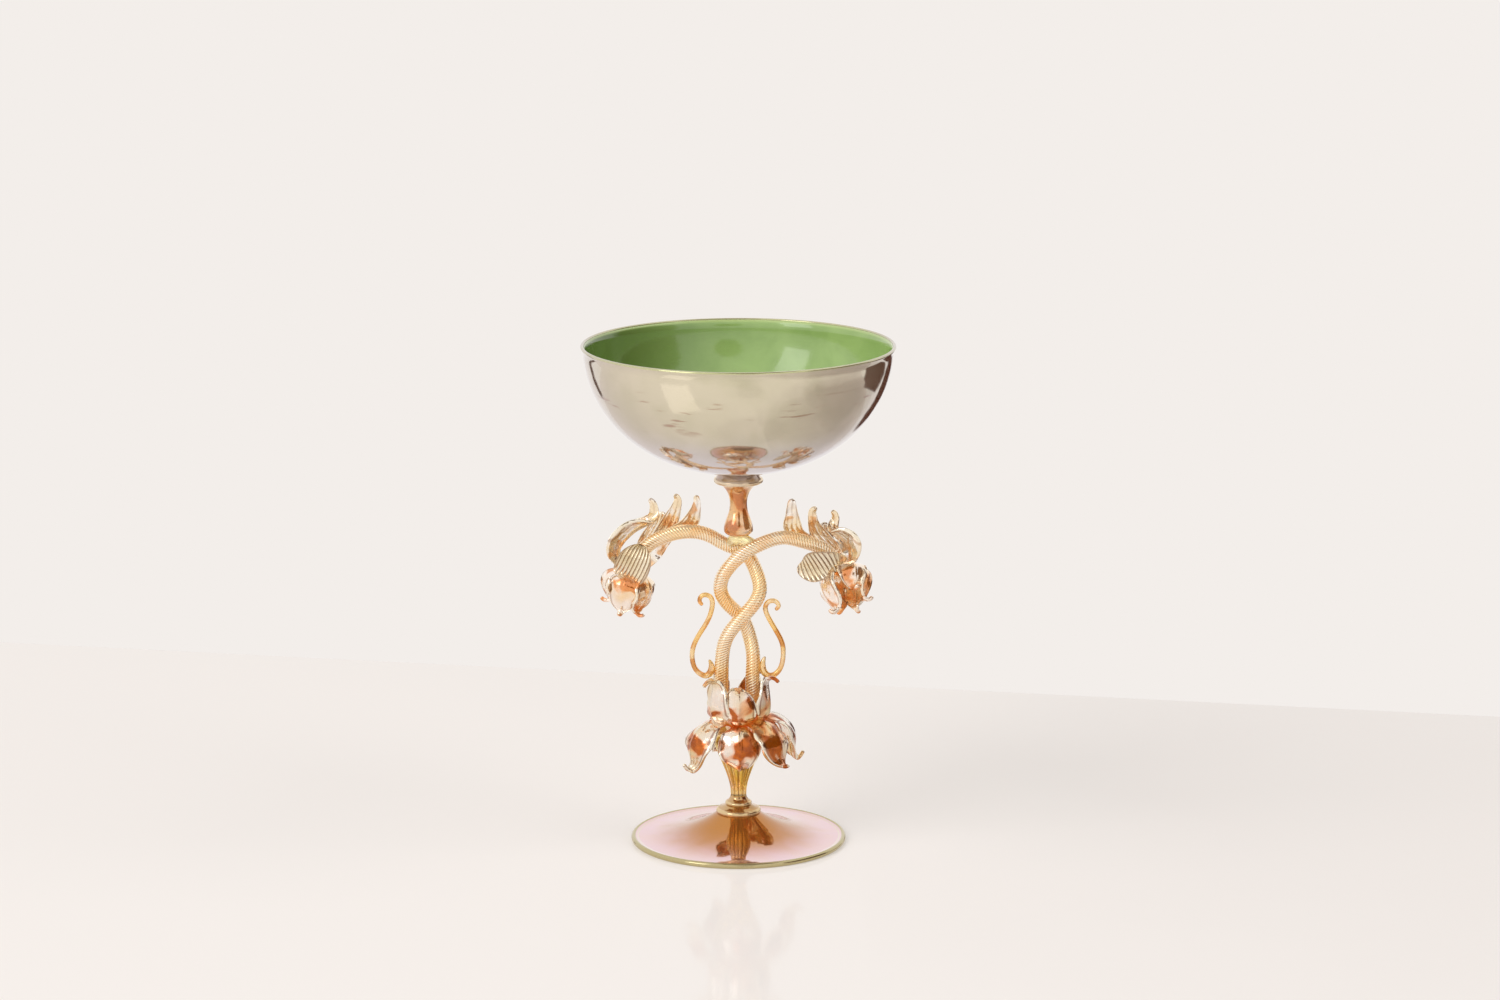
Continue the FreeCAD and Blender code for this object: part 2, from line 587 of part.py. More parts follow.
def bowl_point(share, inset):
    """Return (radius, height) of the bowl's outline at a share of its depth, set in by a wall."""
    radius = (bowl_radius - inset) * (1 - share ** bowl_side_power) ** (1 / bowl_base_power)
    below = share * (bowl_depth - inset)
    flare = bowl_lip_flare * max(1 - below / bowl_flare_depth, 0) ** 2
    return (radius + flare, rim_z - below)


def bowl_curve(inset, top_share):
    """Return the bowl's outline as a smooth edge from the axis up to a share of its depth."""
    count = 22
    points = []
    for index in range(count + 1):
        angle = math.pi / 2 * index / count
        share = 1 - (1 - math.cos(angle)) * (1 - top_share)
        points.append(bowl_point(share, inset))
    return curve(points)


def bowl():
    """Return the casing with its rounded lip, and the lining that fills it up to the lip."""
    lining_inset = bowl_casing_wall
    hollow_inset = bowl_casing_wall + bowl_lining_wall
    top_share = bowl_lip_height / bowl_depth
    outer = bowl_curve(0, top_share)
    seam = bowl_curve(lining_inset, top_share)
    hollow = bowl_curve(hollow_inset, top_share)
    outer_top, seam_top, hollow_top = [edge.Vertexes[-1].Point for edge in (outer, seam, hollow)]
    outer_foot, seam_foot, hollow_foot = [edge.Vertexes[0].Point for edge in (outer, seam, hollow)]
    crest = Vector((outer_top.x + hollow_top.x) / 2, 0, rim_z)
    lip = Part.Arc(outer_top, crest, hollow_top).toShape()
    shelf = Part.LineSegment(hollow_top, seam_top).toShape()
    casing = turned([outer, lip, shelf, seam, Part.LineSegment(seam_foot, outer_foot).toShape()])
    lining = turned([seam, shelf, hollow, Part.LineSegment(hollow_foot, seam_foot).toShape()])
    return casing, lining


def bowl_collar(casing):
    """Return the button under the bowl, with its top hollowed to the bowl's own curve."""
    base = collar_z
    rise = collar_height
    seat = min(knop_mouth_radius, collar_radius) - rise / 12
    brow = (collar_radius - rise / 5, base + rise / 2)
    top = (collar_radius - rise / 2, base + rise * 3 / 2)
    edges = polyline([(0, top[1]), (0, base), (seat, base)])
    edges.append(arc((seat, base), (collar_radius, base + rise / 4), brow))
    edges += polyline([brow, top, (0, top[1])])
    return trimmed(turned(edges), [casing])


def arm_core(route):
    """Return the bead at the end of a cane, square to the cane, and the bead's axis."""
    axis = tangents(smooth_points(route, 2))[-1]
    radius = arm_core_radius
    seat = max(cane_radius, radius * 4 / 5)
    edges = polyline([(0, arm_core_length), (0, 0), (seat, 0)])
    edges.append(arc((seat, 0), (radius, arm_core_length * 2 / 5), (seat, arm_core_length * 4 / 5)))
    tip = (seat / 5, arm_core_length)
    edges.append(arc((seat, arm_core_length * 4 / 5), (seat * 3 / 4, arm_core_length * 19 / 20), tip))
    edges.append(line(tip, (0, arm_core_length)))
    bead = turned(edges)
    bead.Placement = FreeCAD.Placement(route[-1], FreeCAD.Rotation(Vector(0, 0, 1), axis))
    return bead, axis


def long_petal(across, rows, neck, side):
    """Return a petal of an arm blossom from its rows of shares."""
    unit = arm_flower_radius
    points = []
    for outward, depth, up, _, _, _ in rows:
        points.append(neck + Vector(side * outward * unit, depth * horn_stand_off, up * unit))
    widths = [row[3] * unit for row in rows]
    cups = [row[4] * unit for row in rows]
    turns = [row[5] * side for row in rows]
    mirrored = Vector(across[0], -side * across[1], side * across[2])
    return petal(points, widths, cups, mirrored, turns)


def arm_blossom(side, name, cane_solid, route, horns, apron, bud, bud_turn):
    """Return the arm blossom's solids by node name: core, horned petals, apron and bud petals."""
    core, axis = arm_core(route)
    neck = route[-1] + axis * (arm_core_length / 2)
    blanks = {}
    for petal_name, (across, rows) in horns.items():
        blanks["horn_" + petal_name] = long_petal(across, rows, neck, side)
    blanks["apron"] = long_petal(apron[0], apron[1], neck, side)
    lean = FreeCAD.Rotation(Vector(0, 1, 0), -side * bud_turn[0])
    tilt = FreeCAD.Rotation(Vector(1, 0, 0), -bud_turn[1])
    hang = FreeCAD.Placement(neck, lean * tilt)
    for petal_name, (azimuth, reach, length, width) in bud.items():
        blank = whorl_petal(bud_shares, azimuth, reach * bud_reach, -length * bud_length,
                            width * bud_half_width, bud_cup, -1)
        blank.Placement = hang
        blanks["bud_" + petal_name] = blank
    pieces = {}
    for petal_name, blank in blanks.items():
        pieces[petal_name] = trimmed(blank, [core, cane_solid] + list(pieces.values()))
    named = {name + "_flower_core": core}
    for petal_name, solid in pieces.items():
        named[name + "_flower_" + petal_name] = solid
    return named


def goblet():
    """Return every solid of the goblet by node name."""
    left_route = cane_route(left_twist_shares, left_arm_shares)
    right_route = cane_route(right_twist_shares, right_arm_shares)
    left = cane(left_route)
    right = cane(right_route)
    core = blossom_core()
    pieces = {
        "foot": foot(),
        "foot_merese_lower": lower_merese(),
        "foot_merese_upper": upper_merese(),
        "ribbed_vase_knop": vase_knop(),
        "blossom_core": core}
    petals = blossom_petals([core, left, right])
    pieces.update(petals)
    pieces["left_cane"] = left
    pieces["right_cane"] = right
    pieces["left_scroll"] = scroll(left_scroll_shares, -1, cane_radius - left_route[2].x,
                                   [left, petals["blossom_standard_left"]])
    pieces["right_scroll"] = scroll(right_scroll_shares, 1, cane_radius + right_route[2].x,
                                    [right, petals["blossom_standard_right"]])

    casing, lining = bowl()
    collar = bowl_collar(casing)
    pieces["stem_joint"] = stem_joint(left, right, left_route, right_route)
    pieces["upper_knop"] = trimmed(upper_knop(), [collar])
    pieces["bowl_collar"] = collar
    pieces["bowl_casing"] = casing
    pieces["bowl_lining"] = lining

    pieces.update(arm_blossom(-1, "left", left, left_route, left_horns, left_apron, left_bud, left_bud_turn))
    pieces.update(arm_blossom(1, "right", right, right_route, right_horns, right_apron, right_bud,
                              right_bud_turn))
    return pieces


os.makedirs("parts", exist_ok=True)
for node, solid in goblet().items():
    solid.exportStep("parts/" + node + ".step")
    print(node, "valid" if solid.isValid() else "NOT VALID", round(solid.Volume, 1))
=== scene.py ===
"""Looks of a footed glass goblet with interlaced canes, scroll handles and three blossoms.

Sizes are in millimetres and become metres where a surface is made into a mesh. +Z is up, +X is to the right
of someone who looks at the front, and +Y points away from them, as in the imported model. Every surface is a
grid of points worked out from two parameters, and each grid carries the numbers that its glass follows: how
far along the piece a point lies, how near the edge, and how high on a rib.
"""

import logging
import math
from dataclasses import dataclass, field
from enum import Enum
from typing import Union

import bpy
import numpy as np
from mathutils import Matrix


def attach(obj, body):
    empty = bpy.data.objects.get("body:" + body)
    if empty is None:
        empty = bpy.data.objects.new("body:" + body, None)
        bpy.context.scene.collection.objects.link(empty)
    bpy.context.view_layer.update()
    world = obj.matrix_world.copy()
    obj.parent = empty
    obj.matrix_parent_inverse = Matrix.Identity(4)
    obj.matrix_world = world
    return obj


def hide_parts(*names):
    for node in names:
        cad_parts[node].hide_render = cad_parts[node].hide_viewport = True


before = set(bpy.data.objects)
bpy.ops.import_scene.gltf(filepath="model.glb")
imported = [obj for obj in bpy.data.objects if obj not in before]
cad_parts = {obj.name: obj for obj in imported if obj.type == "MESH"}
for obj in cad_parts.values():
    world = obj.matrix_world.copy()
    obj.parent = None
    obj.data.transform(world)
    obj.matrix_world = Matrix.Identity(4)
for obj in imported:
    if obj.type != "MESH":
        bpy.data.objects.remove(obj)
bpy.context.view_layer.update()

LOG = logging.getLogger("goblet")
MM = 0.001
TURN = 2 * math.pi
BODY = "root"
FLOW = "flow"
DEPTHWISE = np.array([0.0, 1.0, 0.0])
# Radius of the ring next to the axis of a turned piece. A fan of triangles closes it.
POLE = 0.05
# How far the collar stays under the bowl that it carries, so that the two don't flicker.
SEAT_GAP = 0.02

Colour = tuple[float, float, float, float]
Point = tuple[float, float, float]
Span = tuple[float, float]
Shares = list[tuple[float, ...]]
Value = Union["Number", bpy.types.NodeSocket, float, Colour]


class Slot(Enum):
    """Material slots of the record, by the glass that they stand for."""

    FOOT = "rose_foot_glass"
    MERESE = "iridescent_merese_glass"
    RIBBED = "amber_rib_glass"
    CORE = "gold_leaf_core_glass"
    PETAL = "rose_gold_petal_glass"
    APRON = "champagne_apron_glass"
    CANE = "amber_twist_glass"
    SCROLL = "amber_scroll_glass"
    JOINT = "clear_joint_glass"
    BOWL = "lustred_bowl_glass"
    LINING = "green_lining_glass"


class Axis(Enum):
    """Axes of the goblet, by their column in a row of coordinates."""

    X = 0
    Y = 1
    Z = 2


class Flow(Enum):
    """Numbers that a surface carries for its glass, by their column in the flow attribute."""

    ALONG = 0
    EDGE = 1
    CREST = 2


@dataclass
class Levels:
    """Heights of the goblet's pieces above the floor, in millimetres.

    Fields:
        foot to bowl: how tall each piece is, from the floor up.
        lower_merese_z to collar_z: where each piece starts, which is where the one below it ends.
        rim_z: the bowl's rim.
    """

    foot: float = 13.8
    lower_merese: float = 4.1
    upper_merese: float = 4.7
    vase: float = 32.4
    blossom_core: float = 11.0
    stem: float = 89.4
    knop: float = 26.0
    collar: float = 5.3
    bowl: float = 63.3
    lower_merese_z: float = field(init=False)
    upper_merese_z: float = field(init=False)
    vase_z: float = field(init=False)
    core_z: float = field(init=False)
    cane_z: float = field(init=False)
    knop_z: float = field(init=False)
    collar_z: float = field(init=False)
    rim_z: float = field(init=False)

    def __post_init__(self) -> None:
        """Add the heights up."""
        self.lower_merese_z = self.foot
        self.upper_merese_z = self.lower_merese_z + self.lower_merese
        self.vase_z = self.upper_merese_z + self.upper_merese
        self.core_z = self.vase_z + self.vase
        self.cane_z = self.core_z + self.blossom_core
        self.knop_z = self.cane_z + self.stem
        self.collar_z = self.knop_z + self.knop
        self.rim_z = self.collar_z + self.collar + self.bowl


LEVELS = Levels()


def srgb(red: int, green: int, blue: int) -> Colour:
    """Return the linear colour of an 8-bit screen colour.

    Args:
        red, green, blue: channels from 0 to 255.

    Returns:
        Linear red, green and blue, with full alpha.
    """
    shares = np.array([red, green, blue]) / 255
    linear = np.where(shares <= 0.04045, shares / 12.92, ((shares + 0.055) / 1.055) ** 2.4)
    return (*linear.tolist(), 1.0)


def smoothstep(values: np.ndarray, low: float, high: float) -> np.ndarray:
    """Return 0 below low, 1 above high, and the soft cubic 3t^2 - 2t^3 between them."""
    share = np.clip((values - low) / (high - low), 0, 1)
    return share * share * (3 - 2 * share)


def bell(offset: np.ndarray, width: float) -> np.ndarray:
    """Return exp(-(offset / width)^2), which is 1 in the middle and nearly 0 two widths away."""
    return np.exp(-(offset / width) ** 2)


def rounded_end(share: np.ndarray, least: float) -> np.ndarray:
    """Return the half circle sqrt(1 - (1 - share)^2), with share held between least and 1."""
    return np.sqrt(1 - (1 - np.clip(share, least, 1)) ** 2)


def unit(vectors: np.ndarray) -> np.ndarray:
    """Return vectors divided by their lengths."""
    return vectors / np.linalg.norm(vectors, axis=-1, keepdims=True)


def lengths_along(points: np.ndarray) -> np.ndarray:
    """Return the length of a path from its start to each of its points."""
    return np.concatenate([[0.0], np.cumsum(np.linalg.norm(np.diff(points, axis=0), axis=1))])


def ring_angles(around: int) -> np.ndarray:
    """Return that many even angles round a ring."""
    return np.linspace(0, TURN, around, endpoint=False)


def rotation(axis: Axis, degrees: float) -> np.ndarray:
    """Return the matrix of a right-handed turn: cosines on the diagonal, sines off it.

    Args:
        axis: the axis that stays.
        degrees: how far the other two turn.

    Returns:
        A matrix that turns a column of coordinates.
    """
    turn = math.radians(degrees)
    first, second = (axis.value + 1) % 3, (axis.value + 2) % 3
    matrix = np.eye(3)
    matrix[first, first] = matrix[second, second] = math.cos(turn)
    matrix[second, first] = math.sin(turn)
    matrix[first, second] = -math.sin(turn)
    return matrix


def spline_through(rows: np.ndarray, count: int) -> np.ndarray:
    """Return a natural cubic spline through rows, whose first three columns are places.

    The knots are the summed square roots of the chords, so that tight turns don't overshoot. All columns
    share them, and second derivatives come from one linear system.

    Args:
        rows: one row for each point that the spline passes through.
        count: how many rows to return, evenly spaced in the knots' measure.

    Returns:
        count rows on the spline.
    """
    chords = np.sqrt(np.linalg.norm(np.diff(rows[:, :3], axis=0), axis=1))
    knots = np.concatenate([[0.0], np.cumsum(chords)])
    size = len(knots)
    inner = np.arange(1, size - 1)
    system = np.eye(size)
    system[inner, inner - 1] = chords[:-1]
    system[inner, inner] = 2 * (chords[:-1] + chords[1:])
    system[inner, inner + 1] = chords[1:]
    slopes = np.diff(rows, axis=0) / chords[:, None]
    right = np.zeros_like(rows)
    right[inner] = 6 * np.diff(slopes, axis=0)
    bends = np.linalg.solve(system, right)
    at = np.linspace(0, knots[-1], count)
    span = np.clip(np.searchsorted(knots, at, side="right") - 1, 0, size - 2)
    after = ((at - knots[span]) / chords[span])[:, None]
    before = 1 - after
    curved = (before ** 3 - before) * bends[span] + (after ** 3 - after) * bends[span + 1]
    return before * rows[span] + after * rows[span + 1] + curved * (chords[span] ** 2 / 6)[:, None]


def carried_frames(points: np.ndarray, across: np.ndarray) -> tuple[np.ndarray, np.ndarray, np.ndarray]:
    """Carry a side direction along a path without twist.

    At each station the part of the last side direction that runs along the path is taken off it. A station
    needs the one before it, so this is the one loop along a path.

    Args:
        points: stations of the path.
        across: side direction at its start.

    Returns:
        Tangents, side directions and outward directions, one row for each station.
    """
    tangents = unit(np.gradient(points, axis=0))
    sides = np.empty_like(points)
    side = across
    for index, tangent in enumerate(tangents):
        side = side - tangent * side.dot(tangent)
        side = side / np.linalg.norm(side)
        sides[index] = side
    return tangents, sides, np.cross(sides, tangents)


def arc_points(start: Span, middle: Span, end: Span, count: int = 12) -> np.ndarray:
    """Return points of the arc through three points.

    The centre is where the perpendicular bisectors of both chords meet.

    Args:
        start, middle, end: (radius, height) of the three points.
        count: how many points to return.

    Returns:
        Rows of (radius, height), from start to end.
    """
    ends = np.array([start, middle, end], float)
    system = 2 * (ends[1:] - ends[:-1])
    centre = np.linalg.solve(system, (ends[1:] ** 2 - ends[:-1] ** 2).sum(axis=1))
    spokes = ends - centre
    angles = np.unwrap(np.arctan2(spokes[:, 1], spokes[:, 0]))
    turn = np.linspace(angles[0], angles[2], count)
    return centre + np.hypot(*spokes[0]) * np.stack([np.cos(turn), np.sin(turn)], axis=1)


def tube_grid(points: np.ndarray, across: np.ndarray, radius: np.ndarray) -> np.ndarray:
    """Return rings round a path: point + radius * (side * cos(a) + out * sin(a)).

    Args:
        points: stations of the path.
        across: a direction across it at its start.
        radius: (stations, points round) distances from it.

    Returns:
        (stations, points round, 3) places.
    """
    _, sides, outs = carried_frames(points, across)
    angle = ring_angles(radius.shape[1])
    return points[:, None] + radius[..., None] * (
        sides[:, None] * np.cos(angle)[:, None] + outs[:, None] * np.sin(angle)[:, None])


def turned_grid(radius: np.ndarray, height: np.ndarray, around: int) -> np.ndarray:
    """Return rings round the Z axis: radius * cos(a), radius * sin(a) and the height.

    Args:
        radius: (rings, 1) or (rings, points round) distances from the axis.
        height: (rings, 1) heights.
        around: how many points each ring has.

    Returns:
        (rings, points round, 3) places.
    """
    angle = ring_angles(around)
    radius = np.broadcast_to(radius, (len(height), around))
    return np.stack([radius * np.cos(angle), radius * np.sin(angle),
                     np.broadcast_to(height, radius.shape)], axis=-1)


def flow_grid(rings: int, around: int) -> np.ndarray:
    """Return a flow grid that runs from 0 to 1 along the rings, away from any edge and free of painted shade.

    Args:
        rings, around: counts of the grid.

    Returns:
        (rings, points round, 3) numbers, by the columns of Flow.
    """
    flow = np.zeros((rings, around, 3))
    flow[..., Flow.ALONG.value] = np.linspace(0, 1, rings)[:, None]
    flow[..., Flow.CREST.value] = 1.0
    return flow


@dataclass
class Skin:
    """A closed surface on a grid: rings of points that close round, with both ends shut by a fan.

    Fields:
        name: name of the piece.
        points: (rings, points round, 3) places in millimetres.
        flow: (rings, points round, 3) numbers for the glass, by the columns of Flow.
    """

    name: str
    points: np.ndarray
    flow: np.ndarray

    def faces(self) -> list[list[int]]:
        """Join the points by quads between neighbouring rings and a fan of triangles over each end.

        The volume is the sum of the corners' triple products. Where it comes out below zero, all faces turn
        round, so that they look outwards.

        Returns:
            The corners of each face, as rows of vertices().
        """
        rings, around = self.points.shape[:2]
        index = np.arange(rings * around).reshape(rings, around)
        turned = np.roll(index, -1, axis=1)
        quads = np.stack([index[:-1], turned[:-1], turned[1:], index[1:]], axis=-1).reshape(-1, 4)
        ends = [np.stack([turned[0], index[0], np.full(around, index.size)], axis=1),
                np.stack([index[-1], turned[-1], np.full(around, index.size + 1)], axis=1)]
        triangles = np.concatenate(ends)
        corners = self.vertices()
        halves = np.concatenate([quads[:, :3], quads[:, [0, 2, 3]], triangles])
        a, b, c = corners[halves[:, 0]], corners[halves[:, 1]], corners[halves[:, 2]]
        if np.einsum("ij,ij->i", a, np.cross(b, c)).sum() < 0:
            quads = quads[:, ::-1]
            triangles = triangles[:, ::-1]
        return quads.tolist() + triangles.tolist()

    def vertices(self) -> np.ndarray:
        """Return the grid's points and the middles of both ends, one row each."""
        return np.concatenate([self.points.reshape(-1, 3), self.points[[0, -1]].mean(axis=1)])

    def piece(self, material: bpy.types.Material, slot: Slot, *nodes: str) -> bpy.types.Object:
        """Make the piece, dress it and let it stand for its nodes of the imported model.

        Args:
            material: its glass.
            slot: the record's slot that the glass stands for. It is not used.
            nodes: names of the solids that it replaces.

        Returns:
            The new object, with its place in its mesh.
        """
        mesh = bpy.data.meshes.new(self.name)
        mesh.from_pydata((self.vertices() * MM).tolist(), [], self.faces())
        mesh.shade_smooth()
        attribute = mesh.attributes.new(FLOW, "FLOAT_VECTOR", "POINT")
        flow = np.concatenate([self.flow.reshape(-1, 3), self.flow[[0, -1]].mean(axis=1)])
        attribute.data.foreach_set("vector", flow.ravel())
        mesh.materials.append(material)
        piece = bpy.data.objects.new(self.name, mesh)
        bpy.context.scene.collection.objects.link(piece)
        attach(piece, BODY)
        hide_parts(*nodes)
        LOG.info("%s: %d faces, stands for %s", self.name, len(mesh.polygons), ", ".join(nodes))
        return piece


def rod(name: str, rows: np.ndarray, across: np.ndarray, rings: int, around: int) -> Skin:
    """Return a round rod along a path, with rounded ends.

    Within one radius of an end the radius follows a half circle: r * sqrt(1 - (1 - distance / r)^2).

    Args:
        name: name of the piece.
        rows: (x, y, z, radius) at each point of the path.
        across: a direction across the rod at its start.
        rings, around: counts of the grid.

    Returns:
        The rod's surface.
    """
    path = spline_through(rows, rings)
    points, radius = path[:, :3], path[:, 3]
    steps = lengths_along(points)
    distance = np.minimum(steps, steps[-1] - steps)
    rounded = radius * rounded_end(distance / radius, 0.02)
    grid = tube_grid(points, across, np.repeat(rounded[:, None], around, axis=1))
    return Skin(name, grid, flow_grid(rings, around))


def revolved(name: str, outline: np.ndarray, around: int = 144) -> Skin:
    """Return an outline turned round the Z axis.

    Args:
        name: name of the piece.
        outline: rows of (radius, height).
        around: how many points each ring has.

    Returns:
        The turned surface, whose edge is where it is widest.
    """
    radius, height = outline[:, :1], outline[:, 1:]
    flow = flow_grid(len(outline), around)
    flow[..., Flow.EDGE.value] = radius / radius.max()
    return Skin(name, turned_grid(radius, height, around), flow)


@dataclass(frozen=True)
class Number:
    """A number inside a material, so that sums on sockets read as plain maths.

    Fields:
        nodes: the tree that it belongs to.
        socket: where the number comes out.
    """

    nodes: "NodeTree"
    socket: bpy.types.NodeSocket

    def joined(self, operation: str, first: Value, second: Value) -> "Number":
        """Return the result of one maths node."""
        node = self.nodes.node("ShaderNodeMath", {"operation": operation}, {0: first, 1: second})
        return Number(self.nodes, node.outputs[0])

    def __add__(self, other: Value) -> "Number":
        """Return self + other."""
        return self.joined("ADD", self, other)

    def __sub__(self, other: Value) -> "Number":
        """Return self - other."""
        return self.joined("SUBTRACT", self, other)

    def __rsub__(self, other: Value) -> "Number":
        """Return other - self."""
        return self.joined("SUBTRACT", other, self)

    def __mul__(self, other: Value) -> "Number":
        """Return self * other."""
        return self.joined("MULTIPLY", self, other)

    def __truediv__(self, other: Value) -> "Number":
        """Return self / other."""
        return self.joined("DIVIDE", self, other)

    __radd__ = __add__
    __rmul__ = __mul__

    def step(self, low: float, high: float) -> "Number":
        """Return a soft step of this number.

        Args:
            low: where it leaves 0.
            high: where it reaches 1.

        Returns:
            The step, from 0 to 1.
        """
        settings = {"interpolation_type": "SMOOTHSTEP"}
        inputs = {"Value": self, "From Min": low, "From Max": high}
        return Number(self.nodes, self.nodes.node("ShaderNodeMapRange", settings, inputs).outputs["Result"])

    def band(self, rise: Span, fall: Span) -> "Number":
        """Return 1 between two soft steps of this number, and 0 outside them."""
        return self.step(*rise) - self.step(*fall)


class NodeTree:
    """The shader nodes of a material or a world, all made by one method."""

    def __init__(self, owner: Union[bpy.types.Material, bpy.types.World]) -> None:
        """Clear the nodes of their owner.

        Args:
            owner: what the nodes belong to.
        """
        owner.use_nodes = True
        self.tree = owner.node_tree
        self.tree.nodes.clear()

    def node(self, kind: str, settings: dict[str, str],
             inputs: dict[Union[str, int], Value]) -> bpy.types.Node:
        """Make a node.

        Args:
            kind: its type.
            settings: its own properties, which are set first.
            inputs: values or links of its sockets, by name or number.

        Returns:
            The new node.
        """
        made = self.tree.nodes.new(kind)
        for key, value in settings.items():
            setattr(made, key, value)
        for key, value in inputs.items():
            if isinstance(value, Number):
                value = value.socket
            if isinstance(value, bpy.types.NodeSocket):
                self.tree.links.new(value, made.inputs[key])
            else:
                made.inputs[key].default_value = value
        return made

    def blended(self, share: Value, first: Value, second: Value) -> bpy.types.NodeSocket:
        """Return two surfaces or lights blended, share of the way from first to second."""
        return self.node("ShaderNodeMixShader", {}, {0: share, 1: first, 2: second}).outputs[0]


class GlassNodes(NodeTree):
    """The nodes of one glass, with a method for each pattern that the finishes share."""

    def __init__(self, name: str) -> None:
        """Start an empty material.

        Args:
            name: its name.
        """
        self.material = bpy.data.materials.new(name)
        super().__init__(self.material)
        self.place = self.node("ShaderNodeTexCoord", {}, {}).outputs["Object"]

    def coordinate(self, axis: Axis) -> Number:
        """Return the place along one axis, in metres."""
        return Number(self, self.node("ShaderNodeSeparateXYZ", {}, {0: self.place}).outputs[axis.value])

    def flow(self, column: Flow) -> Number:
        """Return one of the numbers that the surface carries."""
        carried = self.node("ShaderNodeAttribute", {"attribute_name": FLOW}, {}).outputs["Vector"]
        return Number(self, self.node("ShaderNodeSeparateXYZ", {}, {0: carried}).outputs[column.value])

    def facing(self, blend: float) -> Number:
        """Return how far the surface turns away from sight, for sheen alone."""
        return Number(self, self.node("ShaderNodeLayerWeight", {}, {"Blend": blend}).outputs["Facing"])

    def noise(self, size: float, detail: float = 2.0, distortion: float = 0.0, seed: float = 0.0) -> Number:
        """Return soft noise.

        Args:
            size: width of its lumps in millimetres.
            detail: how many finer lumps lie on them.
            distortion: how much they swirl.
            seed: another seed gives other lumps.

        Returns:
            The noise, from 0 to 1 and mostly near the middle.
        """
        inputs = {"Vector": self.place, "W": seed, "Scale": 1 / (size * MM), "Detail": detail,
                  "Distortion": distortion}
        return Number(self, self.node("ShaderNodeTexNoise", {"noise_dimensions": "4D"}, inputs).outputs[0])

    def mixed(self, share: Value, first: Value, second: Value) -> bpy.types.NodeSocket:
        """Return the colour that lies share of the way from first to second."""
        inputs = {"Factor": share, 6: first, 7: second}
        return self.node("ShaderNodeMix", {"data_type": "RGBA"}, inputs).outputs[2]

    def bump(self, height: Number, depth: float) -> bpy.types.NodeSocket:
        """Return the normal of a relief, depth millimetres high."""
        return self.node("ShaderNodeBump", {}, {"Height": height, "Distance": depth * MM}).outputs["Normal"]

    def surface(self, **inputs: Value) -> bpy.types.NodeSocket:
        """Return a principled surface. Underlines in the names stand for spaces."""
        named = {key.replace("_", " "): value for key, value in inputs.items()}
        return self.node("ShaderNodeBsdfPrincipled", {}, named).outputs[0]

    def finish(self, surface: bpy.types.NodeSocket) -> bpy.types.Material:
        """Make that surface the material's own and return the material."""
        self.node("ShaderNodeOutputMaterial", {}, {"Surface": surface})
        return self.material


# Soft steps over the share of the way from a petal's midrib to its edge, and of the way up a rib.
FACE_ENDS = (0.72, 0.86)
RIM_LINE = (0.76, 0.82)
RIM = (0.86, 0.93)
RIB_SIDE = (0.20, 0.85)


